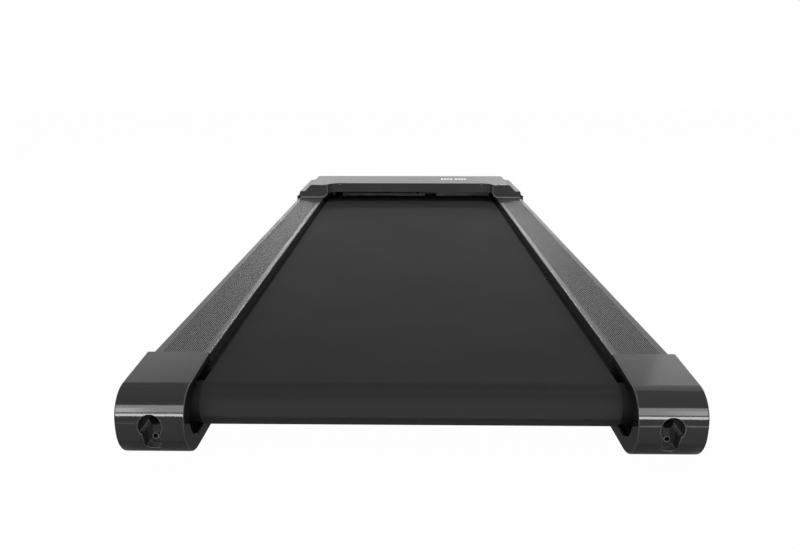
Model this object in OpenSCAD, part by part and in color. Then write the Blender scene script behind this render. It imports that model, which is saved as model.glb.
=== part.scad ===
/* [Pad] */
// Length over the rear noses and the front of the tray
pad_l = 1250; // [1220:5:1350]
// Width over the rear caps and the tray
pad_w = 520; // [508:2:580]
// Height of the rubber feet
foot_h = 4.5; // [4:0.5:8]
// Diameter of the rubber feet
foot_d = 28; // [22:1:32]
// Rear feet, from the noses
rear_foot_y = 66; // [60:1:70]

/* [Side rails] */
// Width of each foot rail
rail_w = 56.6; // [55.6:0.2:60]
// Height of the rail's top over the underside of the pad
rail_h = 69.9; // [69.5:0.1:73]
// Step in from the cap's side to the rail's side
side_step = 4.4; // [4:0.2:6]
// Wall of the rail's skirts
rail_wall = 2.2; // [1.8:0.1:2.6]
// Thickness of the rail's top
rail_plate = 3; // [2.6:0.1:3.6]
// Rounding of the rail's top edges
rail_edge_r = 1.6; // [0.8:0.2:2.4]
// Height of the outer skirt's lower edge over the underside
skirt_lift = 7.5; // [6:0.5:12]
// Rail's inner edge to the tread strip
tread_inner = 6.5; // [5:0.5:8]
// Rail's outer edge to the tread strip
tread_outer = 7.4; // [6:0.2:9]
// Depth of the channel that the tread strip lies in
tread_depth = 1.4; // [1:0.1:1.8]
// Pitch of the tread's ribs
rib_pitch = 2.05; // [1.8:0.05:3]
// Width of a rib
rib_w = 1.1; // [0.8:0.1:1.4]
// Height of a rib
rib_h = 0.6; // [0.4:0.1:0.8]

/* [Rear caps] */
// Length of a cap
cap_l = 89.8; // [86:0.2:100]
// Height of the cap's fore edge over the rail
cap_rise = 2.5; // [1:0.5:4]
// Fall of the cap's top toward the nose, in degrees
cap_slope = 3.8; // [2:0.2:5]
// Radius over the nose
nose_top_r = 28.7; // [24:0.1:30]
// Radius under the nose
nose_low_r = 33.4; // [28:0.1:34]
// Rounding of the cap's side edges
cap_edge_r = 1.4; // [1:0.2:2.4]
// Cap's side over the rail's inner edge
cap_inner_step = 0.8; // [0:0.1:1.2]
// Wall of the cap
cap_wall = 2.5; // [2:0.1:2.8]
// Radius of the keyhole recess round the adjuster
key_r = 11.3; // [9:0.1:11.5]
// Width of the keyhole's lower lobe
key_w = 16; // [13:0.5:18]
// Corner radius of the lower lobe
key_corner = 6; // [4:0.5:6.4]
// Drop of the lower lobe's end below the adjuster
key_drop = 24.9; // [24:0.1:26]
// Floor of the keyhole recess, from the nose
key_floor = 14; // [12:0.5:14.4]
// Drop of the cap screw below the adjuster
cap_screw_drop = 14.8; // [14:0.1:17]
// Radius of the hole that a key reaches the adjuster through
access_r = 5.25; // [4.5:0.25:6]
// Nose to the opening in the cap's inner wall
window_y = 14.7; // [13:0.1:18]

/* [Belt and rollers] */
// Drop from the rail's top to the belt
belt_drop = 11.4; // [10.5:0.1:12]
// Thickness of the running belt
belt_t = 1.8; // [1.4:0.1:2]
// Rail to the belt's edge
belt_side = 5; // [4.5:0.5:8]
// Diameter of both rollers
roller_d = 38; // [34:1:39]
// Wall of the roller tubes
roller_wall = 3; // [2.5:0.1:4]
// Diameter of the roller shafts
shaft_d = 15; // [13:1:16]
// Nose to the rear roller's axis
rear_axis_y = 52.2; // [51.6:0.1:54]
// Front of the pad to the front roller's axis
front_axis_back = 100; // [98:1:104]
// Travel of the rear roller's adjustment
tension_travel = 8; // [5:1:10]
// Width of a roller bearing
bearing_w = 11; // [9:1:13]
// Outer diameter of a roller bearing
bearing_d = 35; // [30:1:35]

/* [Frame] */
// Width of the steel side beams
beam_w = 35; // [32:1:36]
// Height of the side beams
beam_h = 50; // [46:1:52]
// Wall of the side beams
beam_wall = 2.5; // [2:0.1:3]
// Rail's inner edge to the beam
beam_step = 16; // [15.5:0.5:17]
// Thickness of the beam's end plates
end_plate_t = 4; // [3:0.5:5]
// Thickness of the deck board
deck_t = 12; // [10:1:14]
// Height of the cross tubes
tube_h = 18; // [14:1:19]
// Width of the cross tubes
tube_w = 30; // [24:1:40]
// Number of cross tubes
tube_count = 4; // [3:1:6]
// Diameter of the deck's cushions
cushion_d = 16; // [12:1:18]
// Front end of the side beams, from the front of the pad
beam_front_back = 60; // [58:1:64]
// Thickness of the front cross member
member_t = 3; // [2:0.5:4]

/* [Motor cover] */
// Length of the cover's tray, from the wings to the front of the pad
tray_l = 206; // [204:1:220]
// Height of the cover's top over the rails
cover_h = 30.6; // [28:0.2:36]
// Half of the cover's flat top
cover_top_hw = 227.6; // [218:0.2:229]
// Side of the pad to the foot of the cover's shoulder
shoulder_in = 19; // [17:0.5:26]
// Rounding of the shoulder's upper edge
shoulder_r = 10; // [4:0.5:12]
// Rounding round the wings' rear faces
wing_edge_r = 2.6; // [1.2:0.2:2.8]
// Side of the pad to the cover's brim
brim_in = 6.5; // [6:0.5:10]
// Height of the brim's ledge over the rails
ledge_h = 15.9; // [12:0.1:20]
// Gap from the rails up to the cover
cover_gap = 1.6; // [1.2:0.2:2.4]
// Wall of the cover
cover_wall = 2.8; // [2.2:0.1:3.2]
// Front of the pad to the front edge of the cover's top
cover_slope_back = 52; // [44:1:60]
// Front of the pad to the foot of the front slope
slope_foot_back = 18.5; // [16:0.5:24]
// Half width of the recess between the wings
recess_hw = 189.5; // [180:0.5:192]
// Depth of the recess between the wings
recess_d = 26; // [16:1:32]
// Corner radius of the recess, in plan
recess_r = 25; // [12:1:30]
// Height of the belt's mouth under the recess, over the rails
mouth_h = 10.4; // [8:0.2:14]
// Radius of the mouth's corners on the wings
mouth_r = 12.5; // [10:0.5:14]

/* [Tray] */
// Wall of the tray
tray_wall = 3.6; // [3:0.1:4]
// Floor of the tray
tray_floor = 3; // [2.4:0.1:3.4]
// Height of the tray's rim beside the cover
rim_lap = 3.5; // [2:0.5:6]
// Corner radius of the tray, in plan
tray_corner_r = 28; // [20:1:32]
// Radius under the tray's front edge
tray_front_r = 36; // [24:1:38]
// Radius along the tray's lower side edges
tray_side_r = 6; // [3:0.5:8]
// Number of vent slots in the tray's floor
vent_count = 9; // [0:1:11]
// Width of a vent slot
vent_w = 4; // [2:0.5:5]
// Front feet, from the front of the pad
front_foot_back = 110; // [108:1:124]
// Radius of the transport wheels
wheel_r = 22; // [18:0.5:22.5]
// Width of the transport wheels
wheel_w = 18; // [14:1:18]
// Radius of the wheels' axles
wheel_pin_r = 3; // [2.5:0.5:4]

/* [Drive] */
// Radius of the grooved drive pulley
pulley_r = 30; // [26:0.5:30.5]
// Radius of the motor's pulley
motor_pulley_r = 10; // [8:0.5:11]
// Number of grooves
groove_count = 6; // [4:1:6]
// Pitch of the grooves
groove_pitch = 2.34; // [2:0.02:2.34]
// Depth of the grooves
groove_depth = 1.6; // [1.2:0.1:1.8]
// Front of the pad to the motor's axis
motor_back = 34; // [33:0.5:35]
// Height of the motor's axis over the rollers'
motor_rise = 4.1; // [2:0.1:8]
// Radius of the motor's housing
motor_r = 27; // [24:0.5:27.5]
// Length of the motor's housing
motor_l = 142; // [120:1:150]
// Radius of the motor's shaft
motor_shaft_r = 4; // [3.5:0.5:5]
// Radius of the cooling fan
fan_r = 24; // [20:1:26]

/* [Mains panel] */
// Left end of the recessed panel
panel_x = 70; // [60:1:74]
// Width of the recessed panel
panel_w = 120; // [116:1:124]
// Height of the recessed panel
panel_h = 40; // [38:1:44]
// Depth of the panel behind the front of the pad
panel_d = 8; // [7:0.5:9]

/* [Hidden] */
$fn = 48;

rail_out = pad_w / 2 - side_step;
rail_in = rail_out - rail_w;
rail_top = foot_h + rail_h;
belt_top = rail_top - belt_drop;
belt_hw = rail_in - belt_side;
deck_top = belt_top - belt_t;
// Roller to belt
run_gap = 0.3;
// Between pieces that slide or turn beside each other
side_gap = 0.5;
// Shaft in its hole, on the radius
fit = 0.05;
axis_z = deck_top - run_gap - roller_d / 2;
belt_r = roller_d / 2 + run_gap;
front_axis_y = pad_l - front_axis_back;

beam_in = rail_in + beam_step;
beam_out = beam_in + beam_w;
beam_low = axis_z - beam_h / 2;
beam_top = axis_z + beam_h / 2;
beam_front = pad_l - beam_front_back;

cap_in = rail_in - cap_inner_step;
cap_out = pad_w / 2;
cap_top = rail_top + cap_rise;
seam = 0.4;
adjuster_x = beam_in + 13.9;
adjuster_r = 4;
// Thread past the shaft when it is slackened most
adjuster_end = 17;
adjuster_head_r = 6.5;
adjuster_head_l = 8;
washer_t = 1.5;
socket_af = 6;
cap_screw_r = 2;
cap_screw_head_r = 3;
cap_screw_head_l = 2.2;
cap_screw_af = 3;
cap_screw_z = axis_z - cap_screw_drop;
head_y = key_floor + cap_wall + 1;
plate_y = head_y + adjuster_head_l + washer_t;
beam_y = plate_y + end_plate_t;

shaft_r = shaft_d / 2;
roller_hw = beam_in - 2;
bearing_r = bearing_d / 2;

groove_lip = 0.9;
pulley_w = groove_count * groove_pitch + 2 * groove_lip;
pulley_x = -(beam_in - 3);
pulley_flange = 1.5;
deck_hw = beam_in - 3;
deck_y0 = rear_axis_y + tension_travel + roller_d / 2 + 5;
deck_y1 = front_axis_y - pulley_r - pulley_flange - 2.5;
deck_low = deck_top - deck_t;
tube_low = axis_z - belt_r + 3;
tube_top = tube_low + tube_h;
tube_wall = 1.5;
cushion_x = deck_hw - cushion_d / 2 - 0.5;
tube_inset = 66;

tread_x0 = rail_in + tread_inner;
tread_x1 = rail_out - tread_outer;
tread_base = tread_depth - rib_h + 0.2;

tray_y = pad_l - tray_l;
tray_in = pad_w / 2 - tray_wall;
tray_front = pad_l - tray_wall;
floor_z = foot_h + tray_floor;
cover_low = rail_top + cover_gap;
cover_top = rail_top + cover_h;
cover_hw = pad_w / 2 - brim_in;
cover_front = pad_l - brim_in;
shoulder_hw = pad_w / 2 - shoulder_in;
ledge_z = rail_top + ledge_h;
slope_foot = pad_l - slope_foot_back;
slope_top = pad_l - cover_slope_back;
recess_y = tray_y + recess_d;
mouth_top = rail_top + mouth_h;
rim_z = cover_low + rim_lap;
lip_z = floor_z + 3.5;

tab_w = 16;
tab_low = rail_top - 12;
tab_top = rim_z - 0.5;
tab_z = (tab_low + cover_low) / 2;
side_tabs = [tray_y + 56, tray_y + 131];
front_tab_x = 205;
cover_screw_r = 2;
tray_screw_r = 2.5;
boss_x = beam_in + beam_w / 2;
tray_bosses = [tray_y + 36, tray_y + 126];

wheel_x = (beam_in + beam_out) / 2 - 3.5;
wheel_y = pad_l - 28;
wheel_z = foot_h + 19;
ear_t = 4;
ear_r = 8;

motor_y = pad_l - motor_back;
motor_z = axis_z + motor_rise;
member_y = beam_front - 7;
motor_plate_t = 4;
motor_x0 = pulley_x + pulley_w + 5.2 + motor_plate_t;
motor_x1 = motor_x0 + motor_l;
motor_can = 7;
band_t = 1.2;

panel_y = pad_l - panel_d;
panel_wall = 3;
panel_z = axis_z + 2.1;
inlet_x = panel_x + 95;
switch_x = panel_x + 55;
breaker_x = panel_x + 22;
board_t = 1.6;
board_y = member_y + member_t + 8;
board_x1 = beam_in - 25;
board_x0 = board_x1 - 118;
board_z0 = axis_z - 21.9;
board_z1 = axis_z + 24.1;

steel = [0.20, 0.20, 0.21];
zinc = [0.72, 0.73, 0.74];
shell = [0.27, 0.27, 0.28];
black = [0.07, 0.07, 0.07];

// Placing and building helpers; y runs from the rear noses to the front

module from_nose() translate([0, -pad_l / 2, 0]) children();

module both_sides() {
    children();
    mirror([1, 0, 0]) children();
}

module along_x(x0, x1) translate([x0, 0, 0]) rotate([90, 0, 90]) linear_extrude(x1 - x0) children();

module along_y(y0, y1) translate([0, y1, 0]) rotate([90, 0, 0]) linear_extrude(y1 - y0) children();

module along_z(z0, z1) translate([0, 0, z0]) linear_extrude(z1 - z0) children();

module rod_x(r, x0, x1, y, z) translate([x0, y, z]) rotate([0, 90, 0]) cylinder(r = r, h = x1 - x0);

module rod_y(r, y0, y1, x, z) translate([x, y0, z]) rotate([-90, 0, 0]) cylinder(r = r, h = y1 - y0);

module rod_z(r, z0, z1, x, y) translate([x, y, z0]) cylinder(r = r, h = z1 - z0);

module block(lo, hi) translate(lo) cube(hi - lo);

module plate(lo, hi) translate(lo) square(hi - lo);

module round_plate(lo, hi, r) {
    plate([lo.x + r, lo.y], [hi.x - r, hi.y]);
    plate([lo.x, lo.y + r], [hi.x, hi.y - r]);
    for (x = [lo.x + r, hi.x - r], y = [lo.y + r, hi.y - r])
        translate([x, y]) circle(r = r);
}

function unit(v) = v / norm(v);

function flat(p) = [p.x, p.y];

// One corner of a counter-clockwise outline: moved in by d, then rounded to r less d
function corner(a, b, c, r, d) =
    let (
        u = unit(a - b),
        w = unit(c - b),
        half = acos(u * w) / 2,
        side = cross(b - a, c - b) > 0 ? 1 : -1,
        tip = b + unit(u + w) * side * d / sin(half),
        round_r = r - side * d,
        centre = tip + unit(u + w) * round_r / sin(half),
        start = tip + u * round_r / tan(half) - centre,
        steps = 4 + floor(round_r / 4)
    )
    r == 0 || round_r < 0.2 ? [tip] :
    [for (i = [0 : steps])
        let (turn = atan2(start.y, start.x) + side * (180 - 2 * half) * i / steps)
        centre + round_r * [cos(turn), sin(turn)]];

// An outline of [x, y, corner radius], moved in by d
function outline(p, d = 0) =
    let (n = len(p))
    [for (i = [0 : n - 1])
        each corner(flat(p[(i + n - 1) % n]), flat(p[i]), flat(p[(i + 1) % n]), p[i].z, d)];

// Two wheels and the straight runs of a belt round them
module belt_path(c1, r1, c2, r2) {
    span = c2 - c1;
    aim = atan2(span.y, span.x);
    lean = acos((r1 - r2) / norm(span));
    up = [cos(aim + lean), sin(aim + lean)];
    down = [cos(aim - lean), sin(aim - lean)];
    translate(c1) circle(r = r1);
    translate(c2) circle(r = r2);
    polygon([c1 + r1 * up, c1 + r1 * down, c2 + r2 * down, c2 + r2 * up]);
}

module hex_socket_y(af, y0, y1, x, z)
    translate([x, y0, z]) rotate([-90, 0, 0]) cylinder(r = af / 2 / cos(30), h = y1 - y0, $fn = 6);

// Frame

module side_beam() difference() {
    along_y(beam_y, beam_front) difference() {
        round_plate([beam_in, beam_low], [beam_out, beam_top], 3);
        plate([beam_in + beam_wall, beam_low + beam_wall], [beam_out - beam_wall, beam_top - beam_wall]);
    }
    along_x(beam_in - 1, beam_in + beam_wall + 1)
        belt_path([rear_axis_y, axis_z], shaft_r + run_gap,
                  [rear_axis_y + tension_travel, axis_z], shaft_r + run_gap);
    rod_x(shaft_r + fit, beam_in - 1, beam_in + beam_wall + 1, front_axis_y, axis_z);
    rod_z(adjuster_r + fit, beam_low - 1, beam_low + beam_wall + 1, adjuster_x, front_axis_y);
    for (y = tray_bosses)
        rod_z(tray_screw_r + fit, beam_low - 1, beam_low + beam_wall + 1, boss_x, y);
}

module side_beam_right() color(steel) from_nose() side_beam();

module side_beam_left() color(steel) from_nose() mirror([1, 0, 0]) side_beam();

module end_plates() color(steel) from_nose() both_sides() difference() {
    along_y(plate_y, beam_y) round_plate([beam_in, beam_low], [beam_out, beam_top], 3);
    rod_y(adjuster_r + 0.3, plate_y - 1, beam_y + 1, adjuster_x, axis_z);
    rod_y(cap_screw_r + fit, plate_y - 1, beam_y + 1, adjuster_x, cap_screw_z);
}

function tube_y(i) = deck_y0 + tube_inset + (deck_y1 - deck_y0 - 2 * tube_inset) * i / (tube_count - 1);

module cross_tubes() color(steel) from_nose() for (i = [0 : tube_count - 1])
    along_x(-beam_in, beam_in) difference() {
        plate([tube_y(i) - tube_w / 2, tube_low], [tube_y(i) + tube_w / 2, tube_top]);
        plate([tube_y(i) - tube_w / 2 + tube_wall, tube_low + tube_wall],
              [tube_y(i) + tube_w / 2 - tube_wall, tube_top - tube_wall]);
    }

// Plate across the beams' front ends, cut away round the drive belt and notched for the leads
module front_crossmember() {
    foot = floor_z + 4.5;
    left_top = belt_top + 1.7;
    right_top = belt_top + 6.5;
    drive_in = pulley_x + pulley_w + 4.2;
    color(black) from_nose() along_y(member_y, member_y + member_t) polygon([
        [-beam_out + 2, foot], [beam_out - 2, foot], [beam_out - 2, beam_low], [beam_in, beam_low],
        [beam_in, axis_z + 8], [rail_in - 2, axis_z + 8], [rail_in - 2, right_top],
        [66, right_top], [66, axis_z + 6], [38, axis_z + 6], [38, left_top],
        [21, left_top], [21, left_top - 3.2], [17, left_top - 3.2], [17, left_top],
        [-168, left_top], [-168, axis_z + 8], [drive_in, axis_z + 8], [drive_in, foot + 7.5],
        [-beam_in, foot + 7.5], [-beam_in, beam_low], [-beam_out + 2, beam_low]]);
}

module deck_board() color([0.35, 0.25, 0.16]) from_nose() difference() {
    block([-deck_hw, deck_y0, deck_low], [deck_hw, deck_y1, deck_top]);
    for (side = [-1, 1], i = [0 : tube_count - 1]) {
        rod_z(3 + fit, deck_low - 1, deck_top + 1, side * cushion_x, tube_y(i));
        translate([side * cushion_x, tube_y(i), deck_top - 3])
            cylinder(r1 = 3 + fit, r2 = 6 + 2 * fit, h = 3 + fit);
    }
}

module deck_cushions() color(black) from_nose() both_sides() for (i = [0 : tube_count - 1])
    difference() {
        rod_z(cushion_d / 2, tube_top, deck_low, cushion_x, tube_y(i));
        rod_z(3 + fit, tube_top - 1, deck_low + 1, cushion_x, tube_y(i));
    }

// Countersunk screws that hold the deck down on its cushions; the shank ends on the tube
module deck_screws() color(zinc) from_nose() both_sides() for (i = [0 : tube_count - 1]) {
    rod_z(3, tube_top, deck_top - 2.5, cushion_x, tube_y(i));
    translate([cushion_x, tube_y(i), deck_top - 3]) cylinder(r1 = 3, r2 = 5.8, h = 2.8);
}

module running_belt() color(black) from_nose() along_x(-belt_hw, belt_hw) difference() {
    belt_path([rear_axis_y, axis_z], belt_r + belt_t, [front_axis_y, axis_z], belt_r + belt_t);
    belt_path([rear_axis_y, axis_z], belt_r, [front_axis_y, axis_z], belt_r);
}

// Side rails and their tread

module rail_section() {
    skirt_z = foot_h + skirt_lift;
    difference() {
        polygon(outline([[rail_in, skirt_z, 0], [rail_out, skirt_z, 0],
                         [rail_out, rail_top, rail_edge_r], [rail_in, rail_top, rail_edge_r]]));
        plate([rail_in + rail_wall, skirt_z - 1], [rail_out - rail_wall, rail_top - rail_plate]);
        plate([rail_in - 1, skirt_z - 1], [rail_in + rail_wall + 1, deck_top + 1]);
        plate([tread_x0, rail_top - tread_depth], [tread_x1, rail_top + 1]);
    }
    for (x = [beam_in + 6, beam_out - 9])
        plate([x, beam_top], [x + 2, rail_top - rail_plate + 1]);
}

module side_rail() along_y(cap_l + seam, recess_y) rail_section();

module side_rail_right() color(shell) from_nose() side_rail();

module side_rail_left() color(shell) from_nose() mirror([1, 0, 0]) side_rail();

module tread_strip() {
    low = rail_top - tread_depth;
    x0 = tread_x0 + 0.2;
    x1 = tread_x1 - 0.2;
    count = floor((x1 - x0 - rib_w) / rib_pitch);
    margin = (x1 - x0 - rib_w - count * rib_pitch) / 2;
    along_y(cap_l + seam, recess_y) {
        plate([x0, low], [x1, low + tread_base]);
        for (i = [0 : count])
            translate([x0 + margin + i * rib_pitch, low + tread_base - 0.3])
                square([rib_w, rib_h + 0.3]);
    }
}

module tread_strip_right() color(black) from_nose() tread_strip();

module tread_strip_left() color(black) from_nose() mirror([1, 0, 0]) tread_strip();

// Rear caps

function cap_points(over) = [
    [0, foot_h, nose_low_r],
    [cap_l + over, foot_h, 0],
    [cap_l + over, cap_top + over * tan(cap_slope), 0],
    [0, cap_top - cap_l * tan(cap_slope), nose_top_r]];

module cap_form() hull()
    for (a = [0 : 30 : 90])
        let (d = cap_edge_r * (1 - sin(a)), in = cap_edge_r * (1 - cos(a)))
            along_x(cap_in + in, cap_out - in) polygon(outline(cap_points(d), d));

module keyhole(grow) {
    translate([adjuster_x, axis_z]) circle(r = key_r + grow);
    round_plate([adjuster_x - key_w / 2 - grow, axis_z - key_drop - grow],
                [adjuster_x + key_w / 2 + grow, axis_z + grow], key_corner + grow);
}

// Ribs that the cap sits on the beam with
module cap_rib(x) along_x(x - 1, x + 1) difference() {
    intersection() {
        polygon(outline(cap_points(1), 1));
        plate([beam_y + 9, 0], [cap_l - 4, cap_top]);
    }
    plate([0, beam_low], [cap_l, beam_top]);
}

module rear_cap() difference() {
    union() {
        difference() {
            cap_form();
            along_x(cap_in + cap_wall, cap_out - cap_wall)
                polygon(outline(cap_points(cap_wall + 1), cap_wall));
        }
        intersection() {
            cap_form();
            along_y(-1, key_floor + cap_wall) keyhole(2);
        }
        rod_y(cap_screw_r + 2, key_floor, plate_y, adjuster_x, cap_screw_z);
        cap_rib(beam_in + 7);
        cap_rib(beam_out - 7);
    }
    along_y(-1, key_floor) keyhole(0);
    rod_y(access_r, key_floor - 1, key_floor + cap_wall + 1, adjuster_x, axis_z);
    rod_y(cap_screw_r + fit, key_floor - 1, plate_y + 1, adjuster_x, cap_screw_z);
    along_x(cap_in - 1, cap_in + cap_wall + 1) {
        translate([window_y + beam_h / 2, axis_z]) circle(r = beam_h / 2);
        plate([window_y + beam_h / 2, beam_low], [cap_l + 1, beam_top]);
    }
}

module rear_cap_right() color(shell) from_nose() rear_cap();

module rear_cap_left() color(shell) from_nose() mirror([1, 0, 0]) rear_cap();

module rear_cap_screws() color(zinc) from_nose() both_sides() difference() {
    union() {
        rod_y(cap_screw_head_r, key_floor - cap_screw_head_l, key_floor, adjuster_x, cap_screw_z);
        rod_y(cap_screw_r, key_floor - 1, beam_y + 4, adjuster_x, cap_screw_z);
    }
    hex_socket_y(cap_screw_af, key_floor - cap_screw_head_l - 1, key_floor - 0.6,
                 adjuster_x, cap_screw_z);
}

// Rear roller and its adjusters

module adjuster_bolt() {
    difference() {
        rod_y(adjuster_head_r, head_y, head_y + adjuster_head_l, adjuster_x, axis_z);
        hex_socket_y(socket_af, head_y - 1, head_y + 4.5, adjuster_x, axis_z);
    }
    rod_y(adjuster_r, head_y + adjuster_head_l - 1,
          rear_axis_y + shaft_r + tension_travel + adjuster_end, adjuster_x, axis_z);
}

module adjuster_bolt_right() color(zinc) from_nose() adjuster_bolt();

module adjuster_bolt_left() color(zinc) from_nose() mirror([1, 0, 0]) adjuster_bolt();

module adjuster_washers() color(zinc) from_nose() both_sides() difference() {
    rod_y(8, plate_y - washer_t, plate_y, adjuster_x, axis_z);
    rod_y(adjuster_r + 0.3, plate_y - washer_t - 1, plate_y + 1, adjuster_x, axis_z);
}

module rear_shaft() color(zinc) from_nose() difference() {
    rod_x(shaft_r, -adjuster_x - 8, adjuster_x + 8, rear_axis_y, axis_z);
    for (side = [-1, 1])
        rod_y(adjuster_r + 0.06, rear_axis_y - shaft_r - 1, rear_axis_y + shaft_r + 1,
              side * adjuster_x, axis_z);
}

// Tube from x0 to x1 with a seat for a bearing at each end
module roller_tube(x0, x1, y) difference() {
    rod_x(roller_d / 2, x0, x1, y, axis_z);
    rod_x(roller_d / 2 - roller_wall, x0 - 1, x1 + 1, y, axis_z);
    rod_x(bearing_r, x0 - 1, x0 + bearing_w + 1, y, axis_z);
    rod_x(bearing_r, x1 - bearing_w - 1, x1 + 1, y, axis_z);
}

module roller_bearings(x0, x1, y) for (x = [x0 + 1, x1 - bearing_w - 1]) difference() {
    rod_x(bearing_r - 0.02, x, x + bearing_w, y, axis_z);
    rod_x(shaft_r + fit, x - 1, x + bearing_w + 1, y, axis_z);
    difference() {
        rod_x(bearing_r - 3, x - 1, x + 0.6, y, axis_z);
        rod_x(shaft_r + 2.4, x - 2, x + 1, y, axis_z);
    }
    difference() {
        rod_x(bearing_r - 3, x + bearing_w - 0.6, x + bearing_w + 1, y, axis_z);
        rod_x(shaft_r + 2.4, x + bearing_w - 1, x + bearing_w + 2, y, axis_z);
    }
}

module rear_roller_tube() color(zinc) from_nose() roller_tube(-roller_hw, roller_hw, rear_axis_y);

module rear_roller_bearings() color(steel) from_nose()
    roller_bearings(-roller_hw, roller_hw, rear_axis_y);

// Front roller and its drive

module front_shaft() color(zinc) from_nose() difference() {
    rod_x(shaft_r, -adjuster_x - 7, adjuster_x + 7, front_axis_y, axis_z);
    for (side = [-1, 1])
        rod_z(adjuster_r + 0.06, axis_z - shaft_r - 1, axis_z + shaft_r + 1,
              side * adjuster_x, front_axis_y);
}

module front_shaft_bolts() color(zinc) from_nose() both_sides() {
    rod_z(adjuster_head_r, beam_low - 5.5, beam_low, adjuster_x, front_axis_y);
    rod_z(adjuster_r, beam_low - 1, axis_z + shaft_r + 3, adjuster_x, front_axis_y);
}

module front_roller_tube() color(zinc) from_nose() roller_tube(pulley_x, roller_hw, front_axis_y);

module front_roller_bearings() color(steel) from_nose()
    roller_bearings(pulley_x, roller_hw, front_axis_y);

// Profile of a grooved pulley, x along its axis: rim radius r, bore radius, flange height
function groove_profile(r, bore, flange) = [
    [0, bore], [0, r + flange], [groove_lip - 0.3, r + flange], [groove_lip, r],
    for (i = [0 : groove_count - 1])
        let (x = groove_lip + i * groove_pitch, m = groove_pitch / 2)
        each [[x + 0.2, r], [x + m - 0.35, r - groove_depth],
              [x + m + 0.35, r - groove_depth], [x + 2 * m - 0.2, r]],
    [pulley_w - groove_lip, r], [pulley_w - groove_lip + 0.3, r + flange],
    [pulley_w, r + flange], [pulley_w, bore]];

module grooved_pulley(r, bore, flange, y, z) translate([pulley_x, y, z]) rotate([0, 90, 0])
    rotate_extrude() polygon([for (p = groove_profile(r, bore, flange)) [p.y, p.x]]);

module drive_pulley() color(steel) from_nose()
    grooved_pulley(pulley_r, roller_d / 2 + 0.02, pulley_flange, front_axis_y, axis_z);

module belt_ring(lift0, lift1) difference() {
    belt_path([front_axis_y, axis_z], pulley_r + lift1, [motor_y, motor_z], motor_pulley_r + lift1);
    belt_path([front_axis_y, axis_z], pulley_r + lift0, [motor_y, motor_z], motor_pulley_r + lift0);
}

module drive_belt() color(black) from_nose() {
    along_x(pulley_x + groove_lip + 0.3, pulley_x + pulley_w - groove_lip - 0.3)
        belt_ring(0.3, 0.3 + band_t);
    for (i = [0 : groove_count - 1]) {
        x = pulley_x + groove_lip + (i + 0.5) * groove_pitch;
        along_x(x - 0.35, x + 0.35) belt_ring(-0.5, 0.5);
    }
}

module motor_bracket() color(steel) from_nose() difference() {
    along_x(motor_x0 - motor_plate_t, motor_x0)
        round_plate([member_y + member_t, motor_z - 25], [motor_y + 21, motor_z + 25], 8);
    rod_x(12, motor_x0 - motor_plate_t - 1, motor_x0 + 1, motor_y, motor_z);
    for (a = [45 : 90 : 315])
        rod_x(2 + fit, motor_x0 - motor_plate_t - 1, motor_x0 + 1,
              motor_y + 19 * cos(a), motor_z + 19 * sin(a));
}

module motor_bolts() color(zinc) from_nose() for (a = [45 : 90 : 315]) {
    rod_x(3.5, motor_x0 - motor_plate_t - 3, motor_x0 - motor_plate_t,
          motor_y + 19 * cos(a), motor_z + 19 * sin(a));
    rod_x(2, motor_x0 - motor_plate_t - 1, motor_x0 + 3.5,
          motor_y + 19 * cos(a), motor_z + 19 * sin(a));
}

module motor_housing() color(black) from_nose() difference() {
    rod_x(motor_r, motor_x0, motor_x1, motor_y, motor_z);
    rod_x(motor_r - motor_can, motor_x0 + 4, motor_x1 - 4, motor_y, motor_z);
    rod_x(motor_shaft_r + fit, motor_x0 - 1, motor_x1 + 1, motor_y, motor_z);
    for (a = [45 : 90 : 315])
        rod_x(2 + fit, motor_x0 - 1, motor_x0 + 3.8, motor_y + 19 * cos(a), motor_z + 19 * sin(a));
}

module motor_rotor() color(zinc) from_nose() {
    rod_x(motor_shaft_r, pulley_x - 1, motor_x1 + 12, motor_y, motor_z);
    rod_x(motor_r - motor_can - 0.6, motor_x0 + 16, motor_x1 - 34, motor_y, motor_z);
    rod_x(10, motor_x1 - 30, motor_x1 - 14, motor_y, motor_z);
}

module motor_pulley() color(steel) from_nose()
    grooved_pulley(motor_pulley_r, motor_shaft_r + 0.02, 0, motor_y, motor_z);

module cooling_fan() color(black) from_nose() translate([motor_x1 + 2, motor_y, motor_z])
    rotate([0, 90, 0]) difference() {
        union() {
            cylinder(r = 8, h = 10);
            cylinder(r = fan_r, h = 1.2);
            for (a = [0 : 40 : 320])
                rotate([0, 0, a]) translate([5, -0.7, 0]) cube([fan_r - 6, 1.4, 9]);
        }
        translate([0, 0, -1]) cylinder(r = motor_shaft_r + 0.02, h = 12);
    }

// Motor cover

function cover_across(low) = [
    [-cover_hw, low, 0], [cover_hw, low, 0], [cover_hw, ledge_z, 3],
    [shoulder_hw, ledge_z, 2.5], [cover_top_hw, cover_top, shoulder_r],
    [-cover_top_hw, cover_top, shoulder_r], [-shoulder_hw, ledge_z, 2.5], [-cover_hw, ledge_z, 3]];

function cover_along(low) = [
    [tray_y, low, wing_edge_r], [cover_front, low, 0], [cover_front, ledge_z, 3],
    [slope_foot, ledge_z, 1.5], [slope_top, cover_top, 6], [tray_y, cover_top, wing_edge_r]];

cover_plan = [
    [-cover_hw, tray_y, wing_edge_r], [cover_hw, tray_y, wing_edge_r],
    [cover_hw, cover_front, tray_corner_r - 5], [-cover_hw, cover_front, tray_corner_r - 5]];

// Wider outside the wings, so that the corners between them are round
recess_plan = [
    [-recess_hw - 6, tray_y - 5, 0], [recess_hw + 6, tray_y - 5, 0],
    [recess_hw + 6, tray_y, 0], [recess_hw, tray_y, wing_edge_r],
    [recess_hw, recess_y, recess_r], [-recess_hw, recess_y, recess_r],
    [-recess_hw, tray_y, wing_edge_r], [-recess_hw - 6, tray_y, 0]];

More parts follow.
